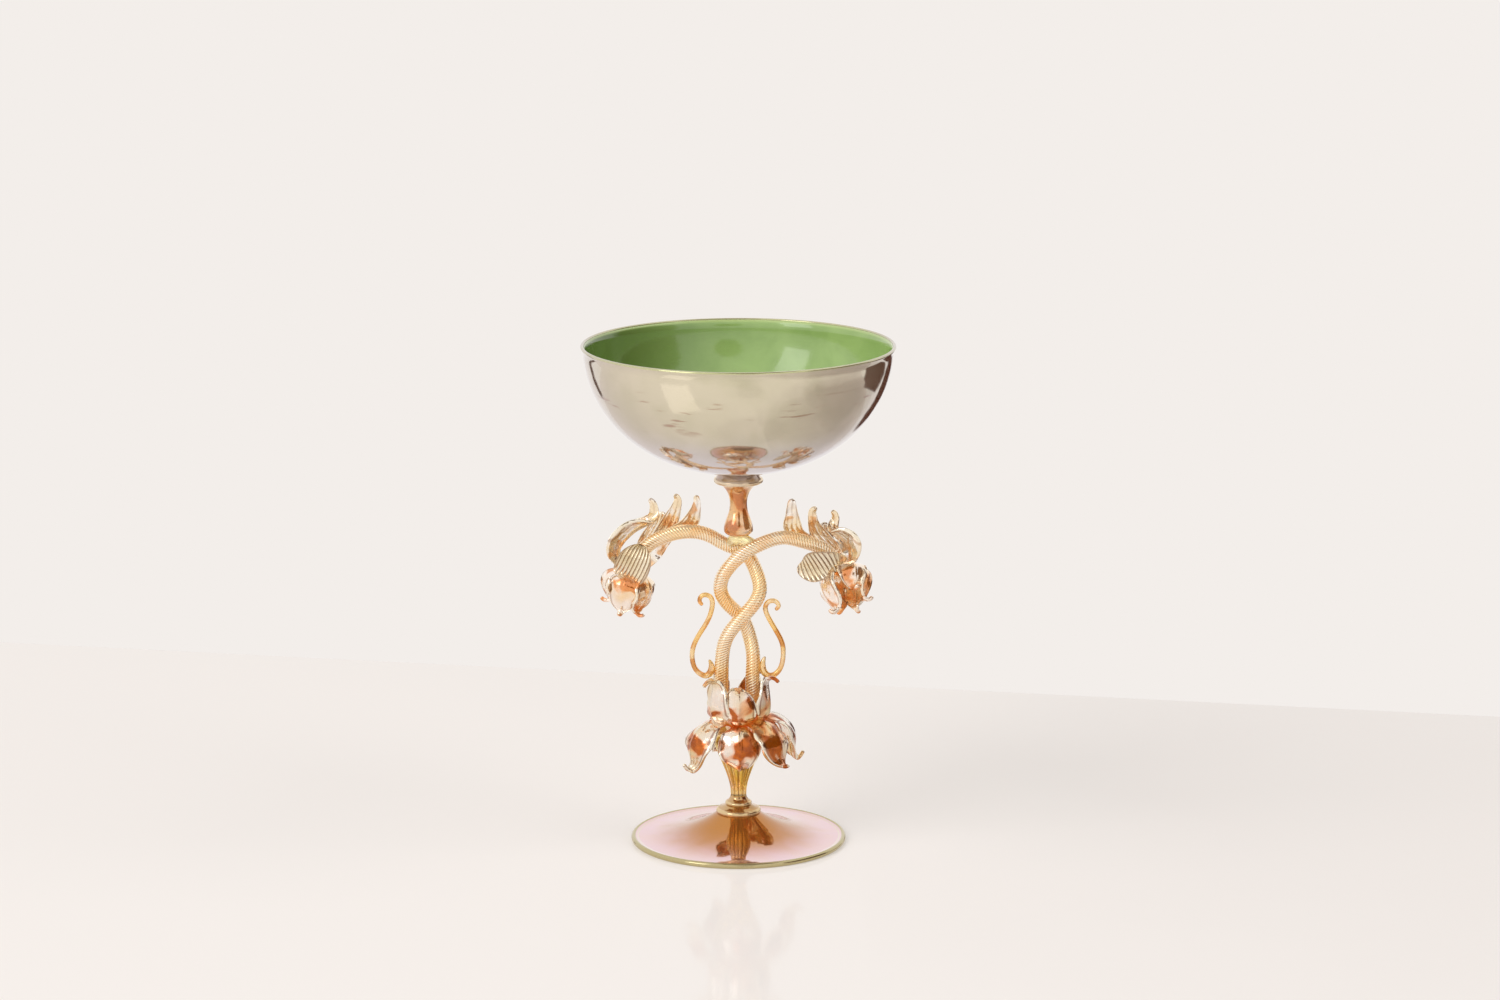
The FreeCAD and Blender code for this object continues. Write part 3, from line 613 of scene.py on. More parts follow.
@dataclass(frozen=True)
class LustreGlass:
    """Tinted glass with gold leaf inside and a silvery metallic lustre over it.

    Fields:
        name: name of the material.
        tint, deep: the glass where it is thin and where it gathers.
        painted_groove_shade: colour of the painted shade in rib grooves, beside a midrib's crease and inside
            a rolled rim.
        lustre, lustre_gold: the two colours of the metallic film.
        rim: colour of the thick clear edges and tips.
        film, edge_film: how much film lies over the faces, and how much more at grazing angles.
        clarity: how much light goes through the glass.
        patch: width in millimetres of the darker and lighter patches.
        gather: share of the surface where the glass gathers deep, its film painted with dark reflection.
        leaf: share of the surface that shows gold leaf.
        fleck: width in millimetres of the flecks of leaf.
        outline: depth of the line of painted shade along the inner side of a rolled rim.
        root: share of the length over which the glass gathers where the piece is stuck on.
        hollow: depth of the painted shade in the grooves between ribs.
        lumps: height in millimetres of the soft unevenness of hand-worked glass.
        bronze, burn: colour of the painted dark reflection in the film where the glass gathers, and its
            depth.
        painted_glow: strength of painted light, emission in the glass's colour for light piped from its other
            faces.
        seed: number that places the patches.
    """

    name: str
    tint: Colour
    deep: Colour
    painted_groove_shade: Colour
    lustre: Colour
    lustre_gold: Colour
    rim: Colour
    film: float = 0.5
    edge_film: float = 0.4
    clarity: float = 0.5
    patch: float = 9.0
    gather: float = 0.35
    leaf: float = 0.3
    fleck: float = 0.8
    outline: float = 0.0
    root: float = 0.05
    hollow: float = 0.9
    lumps: float = 0.3
    painted_reflection_colour: Colour = srgb(176, 104, 60)
    painted_reflection_strength: float = 0.0
    painted_glow: float = 0.05
    seed: float = 0.0

    def material(self) -> bpy.types.Material:
        """Return the glass as a material.

        Patches of noise above a line are glass that gathers deep in colour. Over them the film turns to a
        brown that is a painted dark reflection, with a soft edge of deep colour. Rims and tips stay clear,
        and a line of painted shade runs inside them, as in the grooves between ribs. The glass emits a little
        of its own colour as painted light. The film's share grows at grazing angles and drops over the
        patches.

        Returns:
            The glass with its film over it.
        """
        glass = GlassNodes(self.name)
        patches = glass.noise(self.patch, 1.5, 0.6, self.seed)
        flecks = glass.noise(self.fleck, 3.0, 0.3)
        edge = glass.flow(Flow.EDGE)
        line = 0.62 - self.gather * 0.3
        root = 1 - glass.flow(Flow.ALONG).step(0.04, self.root)
        # Patches where the glass gathers deep in colour; over them the film carries painted dark reflection.
        gathered_and_painted_reflection = patches.step(line, line + 0.05) * (1 - edge.step(*FACE_ENDS)) * (1 - root)
        gold = flecks.step(0.60, 0.70) * patches.step(0.40, 0.50) * self.leaf
        rim = edge.step(*RIM)
        # Painted shade: the colour darkens in the grooves between ribs and beside a midrib's crease.
        painted_groove_shade = 1 - glass.flow(Flow.CREST).step(*RIB_SIDE)
        # The line of painted shade inside a rolled rim joins the painted shade of the grooves.
        dark = painted_groove_shade * self.hollow + edge.band(RIM_LINE, RIM) * self.outline

        colour = glass.mixed(gathered_and_painted_reflection + root, self.tint, self.deep)
        colour = glass.mixed(gold, colour, self.lustre_gold)
        colour = glass.mixed(rim * 0.8, colour, self.rim)
        colour = glass.mixed(dark, colour, self.painted_groove_shade)
        relief = patches * 0.8 + flecks * 0.05 + glass.noise(self.patch * 0.45, 1.0) * 0.3
        normal = glass.bump(relief, self.lumps)
        # Emission in the glass's own colour is painted light, standing in for light passing through the
        # glass.
        body = glass.surface(
            Base_Color=colour, Roughness=0.03 + flecks * 0.04, IOR=1.52, Transmission_Weight=self.clarity,
            Normal=normal, Coat_Weight=0.7, Coat_Roughness=0.02, Emission_Color=colour,
            Emission_Strength=self.painted_glow)

        warmth = glass.noise(self.patch * 1.4, 1.0).step(0.34, 0.66)
        # Painted dark reflection in the film over the patches, with a soft deep-coloured edge.
        painted_reflection_fringe = patches.step(line - 0.05, line + 0.01) * (1 - rim) * (self.painted_reflection_strength * 0.45)
        depth = glass.noise(self.patch * 0.5, 2.0, 1.0).step(0.35, 0.75) * 0.55
        sheen = glass.mixed(warmth, self.lustre, self.lustre_gold)
        sheen = glass.mixed(painted_reflection_fringe, sheen, self.deep)
        sheen = glass.mixed(gathered_and_painted_reflection * self.painted_reflection_strength, sheen, glass.mixed(depth, self.painted_reflection_colour, self.deep))
        sheen = glass.mixed(rim * 0.6, sheen, self.rim)
        film = glass.surface(
            Base_Color=glass.mixed(dark, sheen, self.painted_groove_shade), Metallic=1.0, Roughness=0.06 + patches * 0.08,
            Normal=normal)
        cover = (1 - gathered_and_painted_reflection * 0.2 - root * 0.6) * self.film + glass.facing(0.35) * self.edge_film
        return glass.finish(glass.blended(cover, body, film))


def below_rim(high: float, low: float) -> Span:
    """Return the heights in metres, low one first, that lie high and low millimetres below the rim."""
    return (LEVELS.rim_z - low) * MM, (LEVELS.rim_z - high) * MM


@dataclass(frozen=True)
class BowlGlass:
    """The bowl's outer glass: cream lustre that turns lilac at grazing angles, with worn brown streaks.

    Fields:
        name: name of the material.
        cream, sage: the two colours of the lustre.
        mist: its colour towards the foot of the bowl.
        lilac: its colour at grazing angles.
        wear: the glass under the worn streaks.
        lip: the thin glass of the lip.
        cloud: width in millimetres of the clouds in the lustre.
        streak: scale of the streaks along X, Y and Z, so that they lie flat.
        worn_top, worn_foot: where the streaks fade out above and below, in millimetres below the rim.
        mist_top, lip_foot: the same for the mist and the lip.
    """

    name: str = "lustred_bowl"
    cream: Colour = srgb(222, 214, 188)
    sage: Colour = srgb(198, 194, 160)
    mist: Colour = srgb(214, 216, 228)
    lilac: Colour = srgb(190, 172, 184)
    wear: Colour = srgb(150, 92, 44)
    lip: Colour = srgb(200, 200, 150)
    cloud: float = 26.0
    streak: Point = (55.0, 55.0, 420.0)
    worn_top: Span = (10.0, 20.0)
    worn_foot: Span = (28.0, 36.0)
    mist_top: Span = (24.0, 54.0)
    lip_foot: Span = (0.7, 1.3)

    def material(self) -> bpy.types.Material:
        """Return the glass as a material: a lustred body, and a sheen where it turns away from sight.

        Clouds mix the lustre's two colours. Mist, streaks and the lip lie over them by their heights.

        Returns:
            The lustred body with its sheen over it.
        """
        glass = GlassNodes(self.name)
        clouds = glass.noise(self.cloud, 2.0, 0.6)
        height = glass.coordinate(Axis.Z)
        drawn = glass.node("ShaderNodeMapping", {}, {"Vector": glass.place, "Scale": self.streak}).outputs[0]
        streaks = Number(glass, glass.node(
            "ShaderNodeTexNoise", {}, {"Vector": drawn, "Scale": 1.0, "Detail": 4.0}).outputs[0])
        band = height.band(below_rim(*self.worn_foot), below_rim(*self.worn_top))
        worn = streaks.step(0.60, 0.70) * band * 0.6
        mist = (1 - (height + clouds * 0.012).step(*below_rim(*self.mist_top))) * 0.8
        colour = glass.mixed(clouds.step(0.35, 0.65) * 0.55, self.cream, self.sage)
        colour = glass.mixed(mist, colour, self.mist)
        colour = glass.mixed(worn, colour, self.wear)
        colour = glass.mixed(height.step(*below_rim(*self.lip_foot)), colour, self.lip)
        normal = glass.bump(clouds, 0.5)
        body = glass.surface(
            Base_Color=colour, Metallic=0.8, Roughness=0.05 + streaks * 0.05, Normal=normal,
            Coat_Weight=0.5, Coat_Roughness=0.02)
        sheen = glass.surface(Base_Color=self.lilac, Metallic=1.0, Roughness=0.10, Normal=normal)
        return glass.finish(glass.blended(glass.facing(0.25) * 0.9, body, sheen))


@dataclass(frozen=True)
class LiningGlass:
    """The bowl's green inner glass, glossy, with soft clouds and a pale ring under the lip.

    Fields:
        name: name of the material.
        green, shade: the glass and the clouds in it.
        pale: the ring under the lip.
        olive: the painted shade on the left of the inner wall.
        cloud: width in millimetres of the clouds.
        ring: where the pale ring fades in, in millimetres below the rim.
        thick: where the painted shade on the left ends, in metres along X.
    """

    name: str = "green_lining"
    green: Colour = srgb(164, 192, 116)
    shade: Colour = srgb(142, 172, 96)
    pale: Colour = srgb(190, 208, 136)
    olive: Colour = srgb(80, 104, 40)
    cloud: float = 18.0
    ring: Span = (1.2, 2.2)
    thick: Span = (-0.07, 0.02)

    def material(self) -> bpy.types.Material:
        """Return the glass as a material.

        Clouds mix the two greens. Over them painted shade turns the left olive, and the glass is pale near
        the lip.

        Returns:
            A glossy opaque glass.
        """
        glass = GlassNodes(self.name)
        clouds = glass.noise(self.cloud, 3.0, 0.5)
        # Painted shade: the left of the inner wall is darkened towards olive.
        left_painted_shade = (1 - (glass.coordinate(Axis.X) + clouds * 0.02).step(*self.thick)) * 0.9
        ring = glass.coordinate(Axis.Z).step(*below_rim(*self.ring)) * 0.8
        colour = glass.mixed(clouds.step(0.35, 0.70) * 0.7, self.green, self.shade)
        colour = glass.mixed(left_painted_shade, colour, self.olive)
        colour = glass.mixed(ring, colour, self.pale)
        normal = glass.bump(clouds * 0.6 + glass.noise(4.0) * 0.4, 0.08)
        return glass.finish(glass.surface(
            Base_Color=colour, Roughness=0.10 + clouds * 0.06, IOR=1.55, Normal=normal,
            Coat_Weight=0.4, Coat_Roughness=0.03))


@dataclass(frozen=True)
class FootGlass:
    """The foot's lustre: amber round the crown, pale rose and lilac over the slope, olive at the rim.

    Fields:
        radius: radius of the foot in millimetres. Places on it are shares of this.
        name: name of the material.
        amber: the film round the crown.
        rose, lilac: the film over the slope.
        pale: the fine line inside the rim.
        olive: the rolled rim.
        honey: the glass under the film.
        cloud: width in millimetres of the clouds in the film.
        line_rise, line_fall, rim: where the line starts and ends and where the rim starts.
    """

    radius: float
    name: str = "rose_foot"
    amber: Colour = srgb(180, 116, 52)
    rose: Colour = srgb(240, 208, 212)
    lilac: Colour = srgb(238, 206, 220)
    pale: Colour = srgb(236, 230, 208)
    olive: Colour = srgb(188, 174, 128)
    honey: Colour = srgb(204, 140, 66)
    cloud: float = 16.0
    line_rise: Span = (0.925, 0.935)
    line_fall: Span = (0.940, 0.950)
    rim: Span = (0.960, 0.972)

    def material(self) -> bpy.types.Material:
        """Return the glass as a material.

        The honey glass shows where the foot is looked into steeply, such as on the crown, and the rose film
        where it is seen at a grazing angle.

        Returns:
            The glass with its film over it.
        """
        glass = GlassNodes(self.name)
        clouds = glass.noise(self.cloud, 2.0, 0.7)
        distance = glass.node("ShaderNodeVectorMath", {"operation": "LENGTH"}, {0: glass.place})
        reach = Number(glass, distance.outputs["Value"]) / (self.radius * MM)
        rim = (reach + clouds * 0.01).step(*self.rim)
        colour = glass.mixed(clouds.step(0.35, 0.65), self.rose, self.lilac)
        colour = glass.mixed(1 - (reach + clouds * 0.2).step(0.46, 0.98), colour, self.amber)
        colour = glass.mixed(reach.band(self.line_rise, self.line_fall) * 0.7, colour, self.pale)
        colour = glass.mixed(rim, colour, self.olive)
        depth = glass.mixed(reach.step(0.5, 1.0) * 0.7, self.honey, self.rose)
        depth = glass.mixed(rim, depth, self.olive)
        normal = glass.bump(clouds, 0.15)
        film = glass.surface(
            Base_Color=colour, Metallic=1.0, Roughness=0.05 + clouds * 0.04, Normal=normal, Coat_Weight=0.3,
            Coat_Roughness=0.03)
        body = glass.surface(
            Base_Color=depth, Metallic=0.7, Roughness=0.05, Normal=normal, Coat_Weight=0.5,
            Coat_Roughness=0.02)
        return glass.finish(glass.blended(glass.facing(0.5) * 0.95 + clouds * 0.1, body, film))


ROSE_GOLD = LustreGlass(
    "rose_gold_petal", tint=srgb(255, 190, 100), deep=srgb(240, 130, 34), painted_groove_shade=srgb(132, 66, 20),
    lustre=srgb(244, 238, 232), lustre_gold=srgb(232, 210, 166), rim=srgb(252, 246, 226), film=0.82,
    edge_film=0.2, clarity=0.75, patch=11.0, gather=0.36, outline=0.6, root=0.32, lumps=1.1,
    painted_reflection_colour=srgb(134, 62, 22), painted_reflection_strength=1.0, painted_glow=0.22, seed=11.5)
BUD_GOLD = LustreGlass(
    "bud_gold_petal", tint=srgb(255, 216, 150), deep=srgb(252, 172, 84), painted_groove_shade=srgb(150, 88, 44),
    lustre=srgb(255, 248, 244), lustre_gold=srgb(250, 226, 192), rim=srgb(255, 248, 228), film=0.78,
    edge_film=0.2, clarity=0.8, patch=8.0, gather=0.24, outline=0.55, root=0.14, lumps=1.1,
    painted_reflection_colour=srgb(206, 122, 60), painted_reflection_strength=0.8, painted_glow=0.3, seed=3.0)
HORN_GOLD = LustreGlass(
    "horn_gold", tint=srgb(255, 236, 192), deep=srgb(252, 196, 124), painted_groove_shade=srgb(176, 124, 72),
    lustre=srgb(255, 252, 250), lustre_gold=srgb(252, 234, 202), rim=srgb(255, 246, 222), film=0.80,
    edge_film=0.2, clarity=0.85, patch=7.0, gather=0.22, outline=0.55, root=0.10, hollow=0.25, lumps=0.9,
    painted_reflection_colour=srgb(214, 150, 92), painted_reflection_strength=0.7, painted_glow=0.2, seed=5.0)
KNOP_GLASS = LustreGlass(
    "amber_trumpet", tint=srgb(255, 206, 130), deep=srgb(232, 150, 74), painted_groove_shade=srgb(170, 108, 40),
    lustre=srgb(255, 240, 224), lustre_gold=srgb(240, 196, 136), rim=srgb(240, 200, 130), film=0.5,
    edge_film=0.25, clarity=0.8, patch=10.0, gather=0.35, leaf=0.15, painted_reflection_strength=0.7, painted_reflection_colour=srgb(196, 124, 66),
    painted_glow=0.08, seed=2.0)
CHAMPAGNE = LustreGlass(
    "champagne_apron", tint=srgb(236, 216, 176), deep=srgb(226, 196, 148), painted_groove_shade=srgb(146, 102, 64),
    lustre=srgb(255, 244, 222), lustre_gold=srgb(246, 228, 188), rim=srgb(150, 104, 60), film=0.6,
    edge_film=0.2, clarity=0.2, gather=0.2, leaf=0.1, hollow=0.8)
AMBER_CANE = LustreGlass(
    "amber_twist", tint=srgb(255, 238, 188), deep=srgb(254, 204, 124), painted_groove_shade=srgb(236, 172, 100),
    lustre=srgb(255, 246, 228), lustre_gold=srgb(255, 232, 184), rim=srgb(244, 216, 160), film=0.60,
    edge_film=0.25, clarity=0.6, patch=14.0, gather=0.3, leaf=0.25, hollow=0.75, root=0.09,
    painted_glow=0.14)
AMBER_ROD = LustreGlass(
    "amber_scroll", tint=srgb(255, 218, 130), deep=srgb(232, 164, 70), painted_groove_shade=srgb(190, 120, 40),
    lustre=srgb(255, 240, 214), lustre_gold=srgb(246, 206, 136), rim=srgb(244, 216, 160), film=0.5,
    edge_film=0.0, clarity=0.9, patch=9.0, gather=0.3, leaf=0.0, lumps=0.1, painted_reflection_colour=srgb(206, 134, 62),
    painted_reflection_strength=0.7)
AMBER_RIB = LustreGlass(
    "amber_rib", tint=srgb(255, 226, 110), deep=srgb(252, 194, 66), painted_groove_shade=srgb(170, 108, 10),
    lustre=srgb(255, 240, 204), lustre_gold=srgb(252, 216, 116), rim=srgb(240, 200, 130), film=0.30,
    edge_film=0.25, clarity=0.85, patch=11.0, gather=0.3, leaf=0.15, hollow=0.7)
COLLAR = LustreGlass(
    "pale_collar", tint=srgb(250, 226, 186), deep=srgb(220, 170, 110), painted_groove_shade=srgb(120, 70, 30),
    lustre=srgb(250, 240, 238), lustre_gold=srgb(240, 212, 170), rim=srgb(240, 216, 170), film=0.6,
    edge_film=0.2, clarity=0.6, patch=12.0, gather=0.3, leaf=0.1)
IRIDESCENT = LustreGlass(
    "iridescent_merese", tint=srgb(206, 156, 92), deep=srgb(140, 84, 36), painted_groove_shade=srgb(120, 70, 30),
    lustre=srgb(222, 194, 160), lustre_gold=srgb(196, 152, 88), rim=srgb(240, 216, 170), film=0.75,
    edge_film=0.2, clarity=0.3, patch=12.0, gather=0.4, leaf=0.1)
LEAF_CORE = LustreGlass(
    "gold_leaf_core", tint=srgb(255, 180, 84), deep=srgb(250, 140, 44), painted_groove_shade=srgb(150, 70, 20),
    lustre=srgb(255, 236, 206), lustre_gold=srgb(252, 208, 120), rim=srgb(240, 190, 120), film=0.40,
    edge_film=0.35, clarity=0.6, gather=0.5, leaf=0.6)
CLEAR = LustreGlass(
    "clear_joint", tint=srgb(255, 246, 200), deep=srgb(252, 230, 150), painted_groove_shade=srgb(200, 160, 80),
    lustre=srgb(255, 250, 232), lustre_gold=srgb(250, 230, 166), rim=srgb(246, 232, 180), film=0.3,
    edge_film=0.3, clarity=0.8, gather=0.3, leaf=0.2)


@dataclass(frozen=True)
class Tooling:
    """How a petal's face and edge are worked, in millimetres.

    Fields:
        thickness: thickness of the blade.
        roll: extra half thickness of the rolled rim.
        crease: height of the pinched midrib, which has a line of painted shade on each side.
        rib_pitch: distance between combed ribs, or 0 for a smooth blade.
        rib_height: how high the ribs stand over their grooves.
        ripple: height of the edge's slow waves.
        waves: how many waves there are along the petal.
        horn_half_width: half width of the blade where it starts to draw out into a horn.
        horn_swell: how much thicker than the blade the horn grows, as a share.
        rings, around: counts of the grid.
    """

    thickness: float = 1.4
    roll: float = 0.85
    crease: float = 0.0
    rib_pitch: float = 0.0
    rib_height: float = 0.0
    ripple: float = 0.5
    waves: float = 2.5
    horn_half_width: float = 4.0
    horn_swell: float = 0.5
    rings: int = 96
    around: int = 56


STEM_PETAL = Tooling(crease=1.0, ripple=1.1)
BUD_PETAL = Tooling(crease=0.8, ripple=0.9)
COMBED_HORN = Tooling(rib_pitch=2.3, rib_height=0.22, ripple=0.3, around=96)
COMBED_APRON = Tooling(rib_pitch=1.8, rib_height=0.6, roll=0.5, ripple=0.2, rings=180, around=300)

# Soft steps along a petal: where its blade and its ribs swell out of the root, and where its tip turns clear.
BLADE_STARTS = (0.10, 0.35)
RIBS_START = (0.08, 0.25)
TIP_CLEARS = (0.93, 1.0)
# Soft steps over how narrow it is, and across it: where it is a horn, and where the ribs end at the rim.
HORN_STARTS = (0.35, 0.75)
RIBS_END = (0.86, 0.97)
# Half widths of the bells across a petal that make its rim, its crease and the painted shade beside the
# crease, and where that shade lies and how deep it is.
RIM_WIDTH = 0.10
CREASE_WIDTH = 0.10
CREASE_SHADE_WIDTH = 0.07
CREASE_SHADE_PLACE = 0.20
CREASE_SHADE_DEPTH = 0.3
# The finest half width of a horn, in millimetres, and the thickest a horn may be for its half width.
FINEST_HORN = 0.35
ROUNDEST_HORN = 1.9


@dataclass
class Blade:
    """One tooled petal: a thin cupped blade with a rolled rim, whose end is drawn out to a round horn.

    Fields:
        name: name of the piece.
        rows: (x, y, z, half width, cup, turn) along the midrib, in millimetres and degrees.
        across: direction across the petal at its root.
        tooling: how its face and edge are worked.
        rib_slant: angle in degrees between combed ribs and the midrib.
        phase: where the waves of its edge start, so that no two petals are alike.
    """

    name: str
    rows: np.ndarray
    across: np.ndarray
    tooling: Tooling
    rib_slant: float = 0.0
    phase: float = 0.0

    def frames(self, points: np.ndarray, degrees: np.ndarray) -> tuple[np.ndarray, np.ndarray]:
        """Carry the direction across the petal along it, and turn it about the midrib.

        Args:
            points: stations of the midrib.
            degrees: the turn at each of them.

        Returns:
            Directions across the petal and out of its face, one row for each station.
        """
        turn = np.radians(degrees)[:, None]
        tangents, sides, outs = carried_frames(points, self.across)
        return (sides * np.cos(turn) + np.cross(tangents, sides) * np.sin(turn),
                outs * np.cos(turn) + np.cross(tangents, outs) * np.sin(turn))

    def comb(self, place: np.ndarray, length: np.ndarray, share: np.ndarray,
             across: np.ndarray) -> np.ndarray:
        """Return how high on a combed rib each point lies.

        The ribs are |sin(pi * distance / pitch)| to a power below 1, which widens their crests. The distance
        is measured square to the ribs, place * cos(slant) + length * sin(slant).

        Args:
            place: (rings, points round) place across the petal, in millimetres.
            length: (rings, 1) length along it.
            share: (rings, 1) share of that length.
            across: (rings, points round) share of the way to its edge.

        Returns:
            1 on the crests and on the rim, 0 in the grooves.
        """
        slant = math.radians(self.rib_slant)
        square = place * math.cos(slant) + length * math.sin(slant)
        ribs = np.abs(np.sin(square * math.pi / self.tooling.rib_pitch)) ** 0.7
        cover = smoothstep(share, *RIBS_START) * (1 - smoothstep(across, *RIBS_END))
        return 1 - cover * (1 - ribs)

    def skin(self) -> Skin:
        """Work out the petal's surface.

        Round the section the place across is w cos(a). The half thickness there is a superellipse, the
        blade's own plus a bell at each edge for the rolled rim, times |sin a| to a power that goes from boxy
        on the blade to 1 on the horn. The middle surface drops by cup * cos(a)^2. On it lie the crease, a
        bell at the midrib, the combed ribs, and the ripple, a sine along the petal that grows to the edges
        with cos(a)^4. On a creased blade the crest falls in two bells beside the midrib, where the glass
        carries a line of painted shade along each side of the crease.

        Returns:
            The petal's surface.
        """
        tool = self.tooling
        path = spline_through(self.rows, tool.rings)
        points, half, cup = path[:, :3], np.maximum(path[:, 3], FINEST_HORN), path[:, 4]
        sides, outs = self.frames(points, path[:, 5])
        steps = lengths_along(points)
        tip = rounded_end((steps[-1] - steps) / half, 0.03)
        narrow = 1 - np.clip(half / tool.horn_half_width, 0, 1)
        horn = smoothstep(narrow, *HORN_STARTS)
        thick = np.minimum(tool.thickness * (1 + tool.horn_swell * narrow), ROUNDEST_HORN * half) / 2
        share = np.linspace(0, 1, tool.rings)[:, None]
        body = smoothstep(share, *BLADE_STARTS) * (1 - horn)[:, None]

        angle = ring_angles(tool.around)
        cosine, sine = np.cos(angle)[None], np.sin(angle)[None]
        across = np.abs(cosine) * np.ones((tool.rings, 1))
        rim = bell(1 - across, RIM_WIDTH) * (tool.roll * body)
        power = (0.5 + 0.5 * horn)[:, None]
        lift = (thick[:, None] + rim) * np.abs(sine) ** power * np.sign(sine)
        middle = -cup[:, None] * cosine ** 2 + tool.crease * body * bell(cosine, CREASE_WIDTH)
        if tool.rib_pitch:
            crest = self.comb(half[:, None] * cosine, steps[:, None], share, across)
            middle = middle - tool.rib_height * (1 - crest)
        else:
            # Painted shade: the crest dips in two bells beside the crease, and the glass shows darker there.
            crest = 1 - CREASE_SHADE_DEPTH * min(tool.crease, 1) * body * bell(across - CREASE_SHADE_PLACE, CREASE_SHADE_WIDTH)
        wave = np.sin(share * tool.waves * TURN + self.phase + np.sign(cosine) * 0.9)
        middle = middle + tool.ripple * body * wave * cosine ** 4

        width = (half * tip)[:, None] * cosine
        offset = middle + lift * tip[:, None]
        grid = points[:, None] + sides[:, None] * width[..., None] + outs[:, None] * offset[..., None]
        flow = flow_grid(tool.rings, tool.around)
        flow[..., Flow.EDGE.value] = np.maximum(across * body, smoothstep(share, *TIP_CLEARS))
        flow[..., Flow.CREST.value] = crest
        return Skin(self.name, grid, flow)


@dataclass
class Whorl:
    """Petals of one form round a flower's axis.

    Fields:
        shares: (radius, height, half width, cup) along the midrib, as shares of the sizes that follow.
        reach, height, half_width, cup: those sizes, in millimetres.
        facing: 1 where the outer face looks outwards, -1 where it looks upwards.
    """

    shares: Shares
    reach: float
    height: float
    half_width: float
    cup: float
    facing: int

    def rows(self, azimuth: float, reach: float, height: float, width: float) -> np.ndarray:
        """Return one petal's rows about the Z axis.

        Args:
            azimuth: direction of the petal in degrees.
            reach, height, width: its own shares of the whorl's sizes.

        Returns:
            (x, y, z, half width, cup, turn) along its midrib, with no turn.
        """
        table = np.array(self.shares)
        turn = math.radians(azimuth)
        radius = table[:, 0] * (self.reach * reach)
        return np.stack([
            radius * math.cos(turn), radius * math.sin(turn), table[:, 1] * (self.height * height),
            table[:, 2] * (self.half_width * width), table[:, 3] * self.cup, np.zeros(len(table))], axis=1)

    def across(self, azimuth: float) -> np.ndarray:
        """Return the direction across the petal that points that way."""
        turn = math.radians(azimuth)
        return np.array([-math.sin(turn), math.cos(turn), 0.0]) * self.facing


@dataclass
class Foot:
    """The blown foot and the two buttons on it, in millimetres.

    Fields:
        radius: radius of the foot.
        bead: thickness of its rolled rim.
        wall: thickness of its wall.
        rest: width of the flat ring that it stands on.
        crown: radius of the flat top that carries the buttons.
        lower_radius, upper_radius: radius of each button.
        neck: radius of the neck at the top.
    """

    radius: float = 53.4
    bead: float = 2.8
    wall: float = 1.9
    rest: float = 2.4
    crown: float = 11.0
    lower_radius: float = 11.1
    upper_radius: float = 6.6
    neck: float = 4.0

    def disc(self) -> Skin:
        """Work out the foot: a concave slope over a hollow, a rolled rim and a flat ring to stand on.

        Its outline runs over the crown, down an arc to the brim, round the bead in two arcs, and back to the
        axis under the hollow.

        Returns:
            The foot's surface.
        """
        bead = self.bead / 2
        centre = self.radius - bead
        inner = centre - self.rest
        brim = (inner, bead * 1.5)
        crown = (self.crown, LEVELS.foot)
        slope = ((brim[0] + crown[0]) * 0.4, brim[1] + (crown[1] - brim[1]) * 0.4)
        top = arc_points(crown, slope, brim, 90)
        underside = (self.crown, LEVELS.foot - 2 * self.wall)
        edge = (inner - self.wall / 2, self.wall / 2)
        below = arc_points(edge, (slope[0], slope[1] - self.wall), underside, 40)
        outline = np.concatenate([
            [(POLE, LEVELS.foot), (self.crown * 0.9, LEVELS.foot)], top,
            arc_points(brim, (centre - bead * 0.6, self.bead * 0.9), (centre, self.bead), 10)[1:],
            arc_points((centre, self.bead), (self.radius, bead), (centre, 0), 24)[1:],
            [(inner, 0)], below, [(POLE, underside[1])]])
        return revolved("foot_disc", outline, 256)

    def lower_merese(self) -> Skin:
        """Work out the wide button: an arc round its edge, and a hollow arc from there to the small one.

        Returns:
            The button's surface.
        """
        base, rise, radius = LEVELS.lower_merese_z, LEVELS.lower_merese, self.lower_radius
        seat = min(self.crown, radius) - rise / 8
        brow = (radius - rise / 5, base + rise * 5 / 8)
        outline = np.concatenate([
            [(POLE, base), (seat * 0.9, base)], arc_points((seat, base), (radius, base + rise / 3), brow, 24),
            arc_points(brow, ((brow[0] + self.upper_radius) / 2, base + rise * 3 / 4),
                       (self.upper_radius, base + rise), 16)[1:],
            [(POLE, base + rise)]])
        return revolved("foot_button_wide", outline)

    def upper_merese(self) -> Skin:
        """Work out the small button: an arc round its edge, and a hollow arc from there to the neck.

        Returns:
            The button's surface.
        """
        base, rise, radius = LEVELS.upper_merese_z, LEVELS.upper_merese, self.upper_radius
        seat = radius - rise / 6
        brow = (radius - rise / 10, base + rise * 3 / 7)
        waist = ((radius + self.neck * 2) / 3, base + rise * 5 / 8)
        outline = np.concatenate([
            [(POLE, base), (seat * 0.9, base)], arc_points((seat, base), (radius, base + rise / 5), brow, 24),
            arc_points(brow, waist, (self.neck, base + rise), 16)[1:], [(POLE, base + rise)]])
        return revolved("foot_button_small", outline)

    def make(self) -> None:
        """Make the foot and its buttons."""
        self.disc().piece(FootGlass(self.radius).material(), Slot.FOOT, "foot")
        glass = IRIDESCENT.material()
        self.lower_merese().piece(glass, Slot.MERESE, "foot_merese_lower")
        self.upper_merese().piece(glass, Slot.MERESE, "foot_merese_upper")


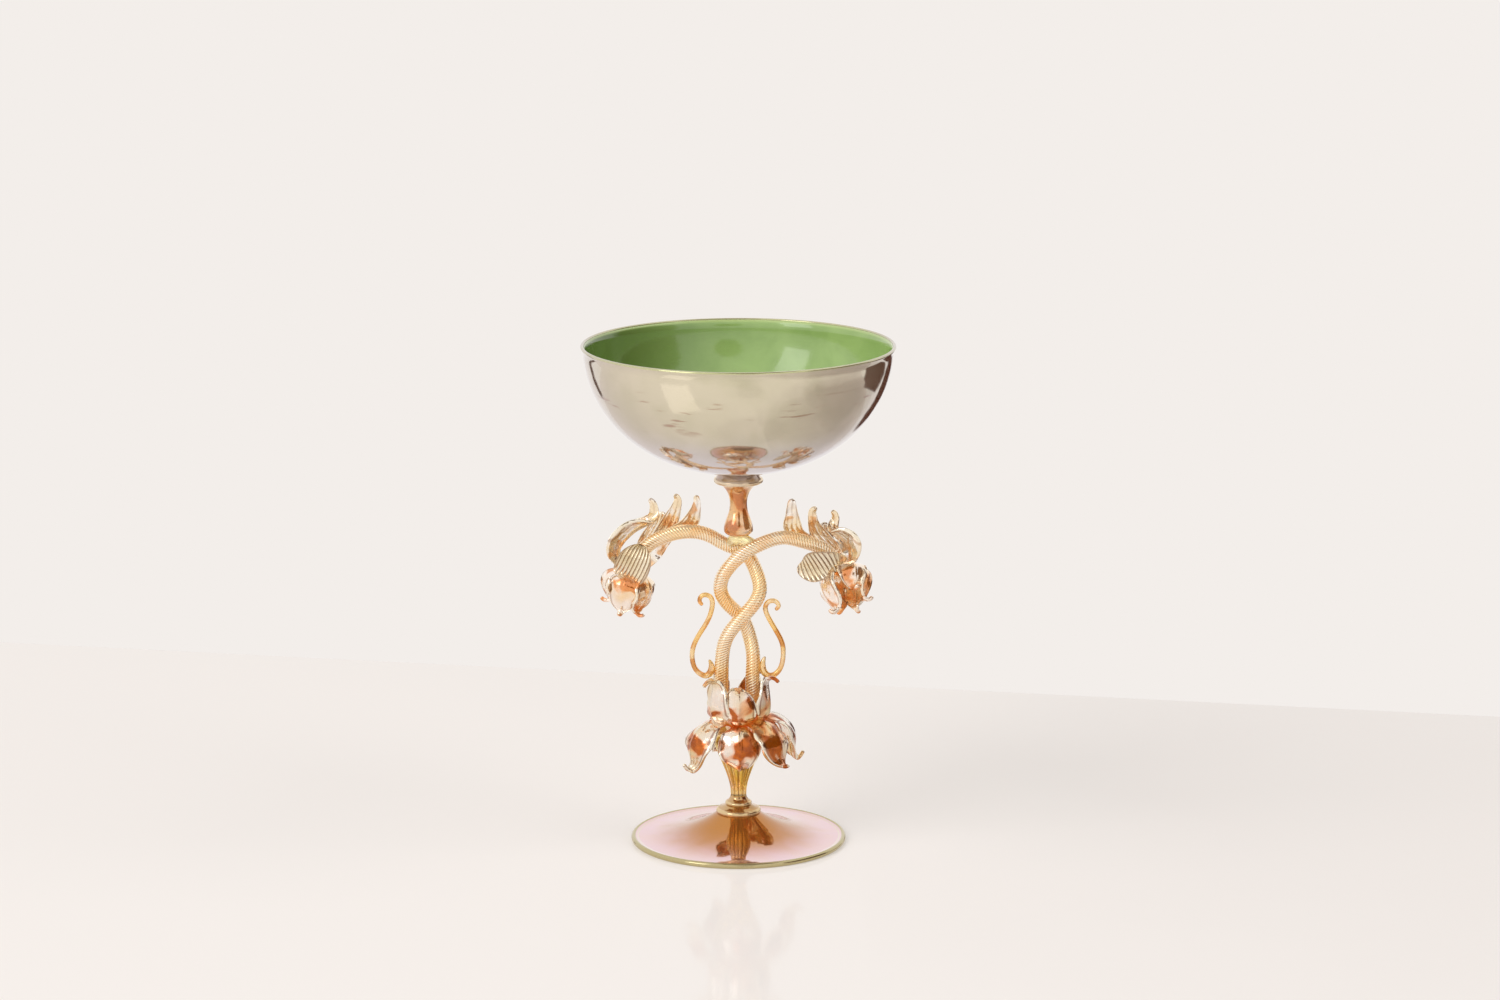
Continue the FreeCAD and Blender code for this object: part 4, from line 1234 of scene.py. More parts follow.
@dataclass
class VaseKnop:
    """The optic-ribbed baluster under the stem blossom, in millimetres.

    Fields:
        radius, neck: its greatest radius and the radius of its foot.
        ribs: how many ribs it has.
        rib_depth: depth of the grooves between them, where it is widest.
        outline_shares: (share of the radius, share of the neck, share of the height) up its outline.
    """

    radius: float = 12.2
    neck: float = 4.0
    ribs: int = 12
    rib_depth: float = 1.1
    outline_shares: Shares = field(default_factory=lambda: [
        (0.0, 1.0, 0.0), (0.0, 1.03, 0.10), (0.12, 0.88, 0.24), (0.38, 0.58, 0.42), (0.66, 0.33, 0.60),
        (0.90, 0.10, 0.76), (1.0, 0.0, 0.87), (0.90, 0.0, 0.955), (0.62, 0.0, 1.0)])

    def skin(self) -> Skin:
        """Work out the baluster.

        Its radius is the outline's less rib depth * (1 - crest), where crest is |sin(ribs * a / 2)| to a
        power below 1, which widens the ribs.

        Returns:
            The baluster's surface.
        """
        shares = np.array(self.outline_shares)
        radius = shares[:, 0] * self.radius + shares[:, 1] * self.neck
        height = LEVELS.vase_z + shares[:, 2] * LEVELS.vase
        outline = spline_through(np.stack([radius, np.zeros(len(radius)), height], axis=1), 90)
        around = 24 * self.ribs
        crest = np.abs(np.sin(ring_angles(around) * self.ribs / 2))[None] ** 0.8
        depth = self.rib_depth * (outline[:, :1] / self.radius) ** 0.8
        rings = outline[:, :1] - depth * (1 - crest)
        flow = flow_grid(*rings.shape)
        flow[..., Flow.CREST.value] = crest
        return Skin("vase_ribbed", turned_grid(rings, outline[:, 2:], around), flow)

    def make(self) -> None:
        """Make the baluster."""
        self.skin().piece(AMBER_RIB.material(), Slot.RIBBED, "ribbed_vase_knop")


@dataclass
class StemBlossom:
    """The flower round the foot of the canes: a core, five upright petals and five that droop.

    Fields:
        core_neck, core_top: radii of the core where it starts and ends, in millimetres.
        standard_reach to standard_cup: sizes of the upright petals, in millimetres.
        fall_reach to fall_cup: sizes of the drooping petals, in millimetres.
        standard_shares: form of an upright petal, as in Whorl.
        horned_shares, broad_shares, spoon_shares: the three forms of a drooping petal, as in Whorl.
        standards, horned, broad, spoon: each petal of that form, by name: its direction in degrees, and its
            shares of the reach, height and half width.
    """

    core_neck: float = 6.0
    core_top: float = 12.2
    standard_reach: float = 19.7
    standard_height: float = 21.0
    standard_half_width: float = 7.6
    standard_cup: float = 3.0
    fall_reach: float = 28.6
    fall_drop: float = 19.5
    fall_half_width: float = 9.6
    fall_cup: float = 3.2
    standard_shares: Shares = field(default_factory=lambda: [
        (0.26, 0.0, 0.42, 0.25), (0.60, 0.04, 0.72, 0.60), (0.78, 0.24, 0.97, 0.95), (0.80, 0.52, 1.0, 1.0),
        (0.76, 0.80, 0.74, 0.65), (0.78, 0.97, 0.32, 0.12), (0.95, 1.01, 0.19, 0.0), (1.13, 0.91, 0.11, 0.0)])
    horned_shares: Shares = field(default_factory=lambda: [
        (0.14, 0.0, 0.30, 0.15), (0.34, 0.18, 0.54, 0.35), (0.58, 0.14, 0.84, 0.75), (0.79, -0.14, 1.0, 1.0),
        (0.86, -0.50, 0.95, 0.95), (0.85, -0.84, 0.48, 0.35), (0.93, -1.0, 0.19, 0.0),
        (1.03, -0.82, 0.10, 0.0)])
    broad_shares: Shares = field(default_factory=lambda: [
        (0.14, 0.0, 0.30, 0.15), (0.32, 0.13, 0.54, 0.35), (0.54, 0.10, 0.86, 0.75),
        (0.72, -0.08, 1.05, 1.0), (0.82, -0.34, 1.05, 1.0), (0.85, -0.64, 0.62, 0.45),
        (0.93, -0.82, 0.22, 0.05), (1.02, -0.78, 0.10, 0.0)])
    spoon_shares: Shares = field(default_factory=lambda: [
        (0.14, 0.0, 0.30, 0.15), (0.34, 0.06, 0.60, 0.45), (0.52, -0.04, 0.96, 0.90),
        (0.62, -0.30, 1.10, 1.0), (0.645, -0.62, 1.05, 0.90), (0.60, -0.90, 0.66, 0.40),
        (0.575, -0.99, 0.30, 0.15)])
    standards: dict[str, tuple[float, ...]] = field(default_factory=lambda: {
        "front": (-91, 0.90, 0.96, 1.18), "left": (-141, 1.0, 1.09, 1.10), "right": (-14, 0.93, 1.09, 1.0),
        "back_right": (58, 0.95, 1.05, 1.05), "back_left": (139, 0.95, 1.07, 1.05)})
    horned: dict[str, tuple[float, ...]] = field(default_factory=lambda: {
        "left": (-148, 1.08, 0.97, 1.10), "back_right": (22, 1.19, 1.04, 0.95),
        "back_left": (116, 1.0, 1.0, 1.0)})
    broad: dict[str, tuple[float, ...]] = field(default_factory=lambda: {
        "right": (-31, 1.0, 1.1, 1.15)})
    spoon: dict[str, tuple[float, ...]] = field(default_factory=lambda: {
        "front": (-88, 1.0, 1.0, 1.0)})

    def core(self) -> Skin:
        """Work out the core that carries the petals: a disc whose side flares along an arc.

        Returns:
            The core's surface.
        """
        base, rise = LEVELS.core_z, LEVELS.blossom_core
        middle = ((self.core_neck + self.core_top) / 2 - rise / 8, base + rise / 2)
        outline = np.concatenate([
            [(POLE, base)], arc_points((self.core_neck, base), middle, (self.core_top, base + rise), 24),
            [(POLE, base + rise)]])
        return revolved("blossom_core_glass", outline)

    def petals(self) -> list[tuple[Skin, str]]:
        """Work out the petals, whorl by whorl.

        Returns:
            Each petal's surface and the name of the solid that it stands for.
        """
        upright = (self.standard_reach, self.standard_height, self.standard_half_width, self.standard_cup, 1)
        drooping = (self.fall_reach, self.fall_drop, self.fall_half_width, self.fall_cup, -1)
        upper = LEVELS.core_z + LEVELS.blossom_core / 2
        lower = LEVELS.core_z + LEVELS.blossom_core / 3
        whorls = [
            ("standard", Whorl(self.standard_shares, *upright), self.standards, upper),
            ("fall", Whorl(self.horned_shares, *drooping), self.horned, lower),
            ("fall", Whorl(self.broad_shares, *drooping), self.broad, lower),
            ("fall", Whorl(self.spoon_shares, *drooping), self.spoon, lower)]
        made = []
        for kind, whorl, petals, level in whorls:
            for name, place in petals.items():
                rows = whorl.rows(*place)
                rows[:, Axis.Z.value] += level
                node = f"blossom_{kind}_{name}"
                blade = Blade(node + "_petal", rows, whorl.across(place[0]), STEM_PETAL,
                              phase=math.radians(place[0]) * 3)
                made.append((blade.skin(), node))
        return made

    def make(self) -> None:
        """Make the core and its petals."""
        self.core().piece(LEAF_CORE.material(), Slot.CORE, "blossom_core")
        glass = ROSE_GOLD.material()
        for skin, node in self.petals():
            skin.piece(glass, Slot.PETAL, node)


@dataclass
class TwistedCanes:
    """Both finely ribbed canes, which cross twice and arch out, and the scroll handles on their sides.

    Fields:
        diameter, gap: thickness of a cane, and how far apart two crossing canes stay, in millimetres.
        spread, reach: how far the canes stand from the axis where they twist, and their arms at the flowers.
        starts, pitch, rib_depth: how many ribs climb round a cane, how far apart they lie along it, and how
            deep their grooves are.
        rings, around: counts of a cane's grid.
        rod_radius, scroll_reach, scroll_height: sizes of a scroll handle.
        joint_radius, joint_waist: radius of the clear saddle at its ends and middle, and between them.
        joint_drop, joint_arch: how far its middle lies under the knop, and how far it is arched.
        left_twist, right_twist: (share of the spread, share of a crossing's offset, share of the height)
            along each twisted stem.
        left_arm, right_arm: the same along each arm, with the first as a share of the reach.
        left_scroll, right_scroll: (share of the reach, share of the height, share of the rod's radius)
            along each handle, from its curl to its pad.
    """

    diameter: float = 7.1
    gap: float = 0.3
    spread: float = 9.5
    reach: float = 50.0
    starts: int = 8
    pitch: float = 1.42
    rib_depth: float = 0.26
    rings: int = 1150
    around: int = 56
    rod_radius: float = 1.25
    scroll_reach: float = 11.5
    scroll_height: float = 41.0
    joint_radius: float = 3.1
    joint_waist: float = 3.0
    joint_drop: float = 2.2
    joint_arch: float = 0.5
    left_twist: Shares = field(default_factory=lambda: [
        (-0.76, 0.0, 0.0), (-0.88, 0.0, 0.10), (-0.88, 0.0, 0.20), (-0.84, -0.2, 0.318),
        (-0.567, -0.75, 0.432), (0.186, -1.0, 0.539), (0.833, -0.6, 0.617), (1.108, 0.0, 0.690),
        (0.885, 0.65, 0.791), (0.341, 1.0, 0.884)])
    left_arm: Shares = field(default_factory=lambda: [
        (-0.112, 0.75, 0.932), (-0.299, 0.3, 0.992), (-0.455, 0.1, 1.013), (-0.60, 0.0, 1.008),
        (-0.730, 0.0, 0.986), (-0.858, 0.0, 0.950), (-0.947, 0.0, 0.899), (-0.992, 0.0, 0.849)])
    right_twist: Shares = field(default_factory=lambda: [
        (0.66, 0.0, 0.0), (0.73, 0.0, 0.10), (0.73, 0.0, 0.20), (0.756, 0.2, 0.314), (0.574, 0.75, 0.417),
        (0.158, 1.0, 0.519), (-0.594, 0.6, 0.605), (-0.939, 0.0, 0.696), (-0.641, -0.70, 0.799),
        (0.29, -1.0, 0.903)])
    right_arm: Shares = field(default_factory=lambda: [
        (0.168, -0.85, 0.938), (0.318, -0.4, 0.970), (0.467, -0.1, 0.981), (0.615, 0.0, 0.962),
        (0.752, 0.0, 0.938), (0.861, 0.0, 0.905), (0.950, 0.0, 0.854)])
    left_scroll: Shares = field(default_factory=lambda: [
        (0.49, 0.870, 0.75), (0.63, 0.925, 0.85), (0.50, 0.990, 0.95), (0.20, 0.980, 1.0), (0.08, 0.890, 1.0),
        (0.25, 0.700, 1.0), (0.60, 0.530, 1.0), (0.87, 0.380, 1.0), (0.955, 0.250, 1.0), (0.86, 0.105, 1.0),
        (0.60, 0.020, 1.1), (0.32, 0.0, 1.25), (0.13, 0.070, 1.4), (0.15, 0.150, 0.9), (0.23, 0.195, 0.4)])
    right_scroll: Shares = field(default_factory=lambda: [
        (0.66, 0.811, 0.75), (0.81, 0.860, 0.85), (0.67, 0.918, 0.95), (0.38, 0.912, 1.0), (0.24, 0.840, 1.0),
        (0.40, 0.705, 1.0), (0.70, 0.555, 1.0), (0.95, 0.410, 1.0), (1.01, 0.280, 1.0), (0.93, 0.120, 1.0),
        (0.68, 0.020, 1.1), (0.38, 0.0, 1.25), (0.14, 0.075, 1.4), (0.16, 0.185, 0.9), (0.24, 0.235, 0.4)])

    def route(self, twist: Shares, arm: Shares) -> np.ndarray:
        """Work out a cane's centre line from its shares.

        Args:
            twist, arm: the shares of its stem and of its arm.

        Returns:
            Places in millimetres, from the stem blossom to the flower.
        """
        offset = (self.diameter + self.gap) / 2
        inner = np.array(twist) * (self.spread, offset, LEVELS.stem)
        outer = np.array(arm) * (self.reach, offset, LEVELS.stem)
        return np.concatenate([inner, outer]) + (0, 0, LEVELS.cane_z)

    def cane(self, name: str, route: np.ndarray) -> Skin:
        """Work out a cane with its twisted optic ribs.

        The radius is the rod's less rib depth * (1 - crest), where crest is
        |sin(starts * a / 2 + pi * length / pitch)| to a power below 1, so ribs a pitch apart climb round the
        cane like a screw.

        Args:
            name: name of the piece.
            route: its centre line.

        Returns:
            The cane's surface.
        """
        path = spline_through(route, self.rings)
        angle = ring_angles(self.around)
        climb = self.starts * angle[None] / 2 + math.pi * lengths_along(path)[:, None] / self.pitch
        crest = np.abs(np.sin(climb)) ** 0.8
        radius = self.diameter / 2 - self.rib_depth * (1 - crest)
        flow = flow_grid(self.rings, self.around)
        flow[..., Flow.CREST.value] = crest
        return Skin(name, tube_grid(path, DEPTHWISE, radius), flow)

    def scroll(self, name: str, shares: Shares, side: int, seat_x: float) -> Skin:
        """Work out a scroll handle: a rod along its S-shaped path, thick at its pad and fine at both ends.

        Args:
            name: name of the piece.
            shares: its path.
            side: -1 on the left and 1 on the right.
            seat_x: how far from the axis the cane's side carries it.

        Returns:
            The handle's surface.
        """
        table = np.array(shares)
        rows = np.zeros((len(table), 4))
        rows[:, 0] = side * (seat_x + table[:, 0] * self.scroll_reach)
        rows[:, 2] = LEVELS.cane_z + LEVELS.stem / 5 + table[:, 1] * self.scroll_height
        rows[:, 3] = table[:, 2] * self.rod_radius
        return rod(name, rows, DEPTHWISE, 220, 28)

    def joint(self, left: np.ndarray, right: np.ndarray) -> Skin:
        """Work out the saddle of clear glass between both arms, swollen in the middle where the knop sits.

        Args:
            left, right: the canes' centre lines. The saddle ends where their arms start.

        Returns:
            The saddle's surface.
        """
        crown = np.array([0.0, 0.0, LEVELS.knop_z - self.joint_drop])
        arch = (0, 0, self.joint_arch)
        start, end = left[len(self.left_twist)], right[len(self.right_twist)]
        rows = np.array([
            [*start, self.joint_radius], [*((start + crown) / 2 + arch), self.joint_waist],
            [*crown, self.joint_radius], [*((end + crown) / 2 + arch), self.joint_waist],
            [*end, self.joint_radius]])
        return rod("arm_joint_saddle", rows, DEPTHWISE, 90, 40)

    def make(self) -> tuple[np.ndarray, np.ndarray]:
        """Make the canes, scrolls and joint.

        Returns:
            The centre lines of the left and the right cane, which carry the flowers.
        """
        left = self.route(self.left_twist, self.left_arm)
        right = self.route(self.right_twist, self.right_arm)
        glass = AMBER_CANE.material()
        self.cane("cane_left_twisted", left).piece(glass, Slot.CANE, "left_cane")
        self.cane("cane_right_twisted", right).piece(glass, Slot.CANE, "right_cane")
        rod_glass = AMBER_ROD.material()
        radius = self.diameter / 2
        self.scroll("scroll_left_rod", self.left_scroll, -1, radius - left[2, 0]).piece(
            rod_glass, Slot.SCROLL, "left_scroll")
        self.scroll("scroll_right_rod", self.right_scroll, 1, radius + right[2, 0]).piece(
            rod_glass, Slot.SCROLL, "right_scroll")
        self.joint(left, right).piece(CLEAR.material(), Slot.JOINT, "stem_joint")
        return left, right


@dataclass
class Bowl:
    """The bowl's two layers of glass, and the trumpet knop and the button that carry it, in millimetres.

    Fields:
        radius: radius of the bowl under its flared lip.
        flare, flare_depth: how far the lip flares, and over what depth.
        casing_wall, lining_wall: thickness of the outer and the inner layer.
        lip: how far below the rim the rounded lip starts.
        side_power, base_power: powers of the bowl's curve, 2 and 2 for a round one.
        knop_bulge, knop_neck, knop_mouth, knop_wall: radii of the knop's foot, neck and mouth, and its wall.
        collar_radius: radius of the button under the bowl.
        knop_shares: (shares of the knop's three radii, share of its height) up its outline.
    """

    radius: float = 75.8
    flare: float = 1.7
    flare_depth: float = 4.5
    casing_wall: float = 1.0
    lining_wall: float = 0.8
    lip: float = 0.8
    side_power: float = 2.03
    base_power: float = 2.116
    knop_bulge: float = 7.2
    knop_neck: float = 4.3
    knop_mouth: float = 10.2
    knop_wall: float = 1.6
    collar_radius: float = 12.2
    knop_shares: Shares = field(default_factory=lambda: [
        (0.78, 0.0, 0.0, 0.0), (0.97, 0.0, 0.0, 0.05), (1.0, 0.0, 0.0, 0.12), (0.78, 0.20, 0.0, 0.25),
        (0.30, 0.64, 0.0, 0.42), (0.0, 1.0, 0.0, 0.55), (0.0, 1.0, 0.01, 0.68), (0.0, 0.75, 0.26, 0.84),
        (0.0, 0.30, 0.72, 0.96), (0.0, 0.0, 1.0, 1.0)])

    def wall(self, inset: float, count: int = 120) -> np.ndarray:
        """Work out the bowl's outline from the axis up to the lip, set in by a wall.

        With s the share of the depth below the rim, the radius is R * (1 - s^side power)^(1 / base power),
        and near the lip it flares by flare * (1 - depth / flare depth)^2.

        Args:
            inset: how far the outline is set in.
            count: how many points it has.

        Returns:
            Rows of (radius, height).
        """
        angle = np.linspace(0, math.pi / 2, count)
        share = 1 - (1 - np.cos(angle)) * (1 - self.lip / LEVELS.bowl)
        radius = (self.radius - inset) * np.clip(1 - share ** self.side_power, 0, 1) ** (1 / self.base_power)
        below = share * (LEVELS.bowl - inset)
        flare = self.flare * np.clip(1 - below / self.flare_depth, 0, 1) ** 2
        return np.stack([np.maximum(radius + flare, POLE), LEVELS.rim_z - below], axis=1)

    def casing(self) -> Skin:
        """Work out the outer layer: up the outside, over the lip in an arc, and down the seam.

        Returns:
            The outer layer's surface.
        """
        outer = self.wall(0)
        seam = self.wall(self.casing_wall)
        hollow = self.wall(self.casing_wall + self.lining_wall)
        crest = ((outer[-1, 0] + hollow[-1, 0]) / 2, LEVELS.rim_z)
        lip = arc_points(tuple(outer[-1]), crest, tuple(hollow[-1]), 16)[1:]
        return revolved("bowl_outer", np.concatenate([outer, lip, seam[::-1]]), 300)

    def lining(self) -> Skin:
        """Work out the inner layer: up the seam to the lip, and down the hollow.

        Returns:
            The inner layer's surface.
        """
        seam = self.wall(self.casing_wall)
        hollow = self.wall(self.casing_wall + self.lining_wall)
        return revolved("bowl_inner_green", np.concatenate([seam, hollow[::-1]]), 300)

    def knop(self) -> Skin:
        """Work out the hollow trumpet knop: a spline up the outside, and the same set in by the wall inside.

        Returns:
            The knop's surface.
        """
        shares = np.array(self.knop_shares)
        radius = shares[:, :3] @ (self.knop_bulge, self.knop_neck, self.knop_mouth)
        rows = np.stack([radius, np.zeros(len(radius)), LEVELS.knop_z + shares[:, 3] * LEVELS.knop], axis=1)
        outer = spline_through(rows, 70)[:, [0, 2]]
        outer[:, 1] = np.clip(outer[:, 1], LEVELS.knop_z, LEVELS.collar_z)
        bore = outer[outer[:, 1] > LEVELS.knop_z + LEVELS.knop / 10][::-1] - (self.knop_wall, 0)
        return revolved("knop_trumpet", np.concatenate(
            [[(POLE, LEVELS.knop_z)], outer, bore, [(POLE, bore[-1, 1])]]))

    def collar(self) -> Skin:
        """Work out the button: an arc round its edge, and the bowl's own curve over its top.

        Returns:
            The button's surface.
        """
        base, rise = LEVELS.collar_z, LEVELS.collar
        seat = min(self.knop_mouth, self.collar_radius) - rise / 12
        brow = (self.collar_radius - rise / 5, base + rise / 2)
        bowl = self.wall(0)
        under = bowl[bowl[:, 0] < self.collar_radius - rise / 2][::-1] - (0, SEAT_GAP)
        outline = np.concatenate([
            [(POLE, base), (seat * 0.9, base)],
            arc_points((seat, base), (self.collar_radius, base + rise / 4), brow, 24), under])
        return revolved("bowl_button", outline)

    def make(self) -> None:
        """Make the bowl, its button and its knop."""
        self.casing().piece(BowlGlass().material(), Slot.BOWL, "bowl_casing")
        self.lining().piece(LiningGlass().material(), Slot.LINING, "bowl_lining")
        self.knop().piece(KNOP_GLASS.material(), Slot.RIBBED, "upper_knop")
        self.collar().piece(COLLAR.material(), Slot.MERESE, "bowl_collar")


@dataclass(frozen=True)
class LongPetal:
    """The form of one petal that lies back along its arm.

    Fields:
        across: direction across it at its root, as (outward, depth, up).
        rows: (outward, depth, up, half width, cup, turn) along its midrib. Depth is a share of the flower's
            stand-off, negative towards the front, turn is in degrees, and the rest are shares of its radius.
    """

    across: Point
    rows: Shares


@dataclass
class ArmBlossom:
    """A flower at the end of an arm: a bead, horned petals, a combed apron and a hanging bud.

    Fields:
        name: left or right.
        side: -1 on the left and 1 on the right.
        horns: the horned petals, by name.
        apron: the combed petal in front.
        bud: each petal of the bud, by name: its direction in degrees, and its shares of the reach, length and
            half width.
        lean, tilt: how far the bud leans outwards, and how far its mouth is tilted to the front, in degrees.
        apron_slant: angle in degrees between the apron's ribs and its midrib.
        radius, stand_off: the size of the flower, and how far its long petals stand off the arm's plane.
        core_radius, core_length: sizes of the bead.
        core_shares: (share of the length, share of the radius) along the bead.
        bud_reach to bud_cup: sizes of the bud's petals.
        bud_shares: form of a bud petal, as in Whorl.
    """

    name: str
    side: int
    horns: dict[str, LongPetal]
    apron: LongPetal
    bud: dict[str, tuple[float, ...]]
    lean: float
    tilt: float
    apron_slant: float
    radius: float = 10.0
    stand_off: float = 5.75
    core_radius: float = 4.7
    core_length: float = 11.0
    bud_reach: float = 14.2
    bud_length: float = 20.5
    bud_half_width: float = 7.0
    bud_cup: float = 2.6
    core_shares: Shares = field(default_factory=lambda: [
        (0.0, 0.86), (0.2, 0.96), (0.5, 1.0), (0.8, 0.86), (0.95, 0.62), (1.0, 0.3)])
    bud_shares: Shares = field(default_factory=lambda: [
        (0.12, 0.0, 0.45, 0.20), (0.52, 0.06, 0.85, 0.70), (0.80, 0.28, 1.08, 1.0), (0.78, 0.56, 1.10, 1.0),
        (0.58, 0.82, 0.78, 0.50), (0.50, 0.96, 0.30, 0.05), (0.66, 1.03, 0.18, 0.0),
        (0.80, 0.96, 0.12, 0.0)])

    def core(self, route: np.ndarray) -> tuple[Skin, np.ndarray]:
        """Work out the bead at the cane's end: a rod that swells in the middle.

        Args:
            route: the cane's centre line.

        Returns:
            The bead's surface, and its middle, from which all petals grow.
        """
        path = spline_through(route, 400)
        axis = unit(path[-1] - path[-4])
        shares = np.array(self.core_shares)
        rows = np.concatenate([path[-1] + axis * (shares[:, 0] * self.core_length)[:, None],
                               (shares[:, 1] * self.core_radius)[:, None]], axis=1)
        skin = rod(f"flower_{self.name}_bead", rows, DEPTHWISE, 60, 48)
        return skin, path[-1] + axis * self.core_length / 2

    def long_petal(self, name: str, petal: LongPetal, neck: np.ndarray, tooling: Tooling,
                   rib_slant: float = 0.0, phase: float = 0.0) -> Skin:
        """Work out a horned petal or the apron: its shares times the flower's sizes, from the neck.

        Args:
            name: name of the petal.
            petal: its form.
            neck: middle of the bead.
            tooling: how it is worked.
            rib_slant: angle in degrees between its ribs and its midrib.
            phase: where the waves of its edge start.

        Returns:
            The petal's surface.
        """
        across = np.array(petal.across, float) * (1, -self.side, self.side)
        rows = np.array(petal.rows, float) * (
            self.side * self.radius, self.stand_off, self.radius, self.radius, self.radius, self.side)
        rows[:, :3] += neck
        return Blade(f"flower_{self.name}_{name}_petal", rows, across, tooling, rib_slant, phase).skin()

    def bud_petal(self, name: str, place: tuple[float, ...], neck: np.ndarray) -> Skin:
        """Work out a petal of the hanging bud: one of a whorl, tilted and leaned with the bud.

        Args:
            name: name of the petal.
            place: its direction in degrees, and its shares of the reach, length and half width.
            neck: middle of the bead.

        Returns:
            The petal's surface.
        """
        whorl = Whorl(self.bud_shares, self.bud_reach, -self.bud_length, self.bud_half_width, self.bud_cup,
                      facing=-1)
        turn = rotation(Axis.Y, -self.side * self.lean) @ rotation(Axis.X, -self.tilt)
        rows = whorl.rows(*place)
        rows[:, :3] = rows[:, :3] @ turn.T + neck
        return Blade(f"flower_{self.name}_bud_{name}_petal", rows, turn @ whorl.across(place[0]), BUD_PETAL,
                     phase=math.radians(place[0]) * 2).skin()

    def make(self, route: np.ndarray) -> None:
        """Make the flower at the end of its cane.

        Args:
            route: the cane's centre line.
        """
        node = f"{self.name}_flower_"
        bead, neck = self.core(route)
        bead.piece(LEAF_CORE.material(), Slot.CORE, node + "core")
        glass = BUD_GOLD.material()
        horn_glass = HORN_GOLD.material()
        for index, (name, petal) in enumerate(self.horns.items()):
            self.long_petal("horn_" + name, petal, neck, COMBED_HORN, phase=index * 1.7).piece(
                horn_glass, Slot.PETAL, node + "horn_" + name)
        self.long_petal("apron", self.apron, neck, COMBED_APRON, self.apron_slant).piece(
            CHAMPAGNE.material(), Slot.APRON, node + "apron")
        for name, place in self.bud.items():
            self.bud_petal(name, place, neck).piece(glass, Slot.PETAL, node + "bud_" + name)


LEFT_BLOSSOM = ArmBlossom(
    "left", -1,
    horns={
        "outer": LongPetal((0, 1, 0), [
            (0.06, 0.05, 0.14, 0.34, 0.08, 0), (0.57, 0.1, 0.54, 0.52, 0.3, 0),
            (0.67, 0.17, 1.03, 0.68, 0.58, 0), (0.32, 0.28, 1.57, 0.7, 0.64, 0),
            (-0.19, 0.45, 2.0, 0.64, 0.54, 0), (-0.68, 0.73, 2.25, 0.48, 0.28, -15),
            (-0.98, 0.94, 2.55, 0.32, 0.08, -50), (-1.03, 0.99, 2.94, 0.23, 0.0, -90),
            (-0.95, 0.99, 3.32, 0.17, 0.0, -90), (-0.78, 0.99, 3.52, 0.12, 0.0, -90)]),
        "middle": LongPetal((-0.8, 0, -0.6), [
            (-0.43, 0.45, 0.39, 0.32, 0.06, 0), (-0.91, 1.6, 0.85, 0.42, 0.12, 0),
            (-1.31, 1.84, 1.42, 0.44, 0.14, 0), (-1.65, 1.84, 1.98, 0.44, 0.12, 0),
            (-1.93, 1.7, 2.55, 0.38, 0.06, 0), (-2.13, 1.57, 3.07, 0.25, 0.01, 0),
            (-2.18, 1.5, 3.46, 0.17, 0.0, 0), (-2.01, 1.5, 3.66, 0.12, 0.0, 0)]),
        "inner": LongPetal((-0.65, 0, -0.75), [
            (-0.58, 0.45, 0.34, 0.32, 0.06, 0), (-1.02, 0.99, 0.78, 0.39, 0.1, 0),
            (-1.44, 1.13, 1.34, 0.34, 0.1, 0), (-1.95, 1.18, 1.81, 0.33, 0.09, 0),
            (-2.5, 1.18, 2.06, 0.38, 0.08, 0), (-2.87, 1.18, 2.42, 0.4, 0.06, 0),
            (-3.04, 1.13, 2.88, 0.29, 0.02, 0), (-3.14, 1.1, 3.33, 0.18, 0.0, 0),
            (-3.07, 1.1, 3.68, 0.13, 0.0, 0)]),
        "back": LongPetal((-1, 0, 0), [
            (-0.23, 0.7, 0.46, 0.32, 0.06, 0), (-0.61, 2.19, 0.92, 0.46, 0.12, 0),
            (-0.95, 2.61, 1.48, 0.48, 0.14, 0), (-1.25, 2.61, 1.98, 0.42, 0.1, 0),
            (-1.4, 2.54, 2.4, 0.34, 0.05, 0), (-1.45, 2.5, 2.68, 0.2, 0.01, 0)])},
    apron=LongPetal((-0.9, 0, -0.4), [
        (0.20, -0.3, -0.16, 0.34, 0.06, 0), (0.30, -1.0, -0.10, 0.62, 0.14, 0),
        (0.12, -1.5, 0.22, 0.84, 0.22, 0),
        (-0.12, -1.6, 0.72, 0.84, 0.24, 0), (-0.34, -1.45, 1.20, 0.68, 0.16, 0),
        (-0.44, -1.2, 1.44, 0.50, 0.08, 0)]),
    bud={
        "outer": (178, 1.14, 0.82, 1.0), "front": (-106, 0.90, 1.0, 1.05), "inner": (-30, 0.98, 0.97, 1.10),
        "back_inner": (40, 0.95, 0.98, 0.84), "back_outer": (110, 0.95, 0.98, 0.86)},
    lean=12.0, tilt=0.0, apron_slant=0.0)

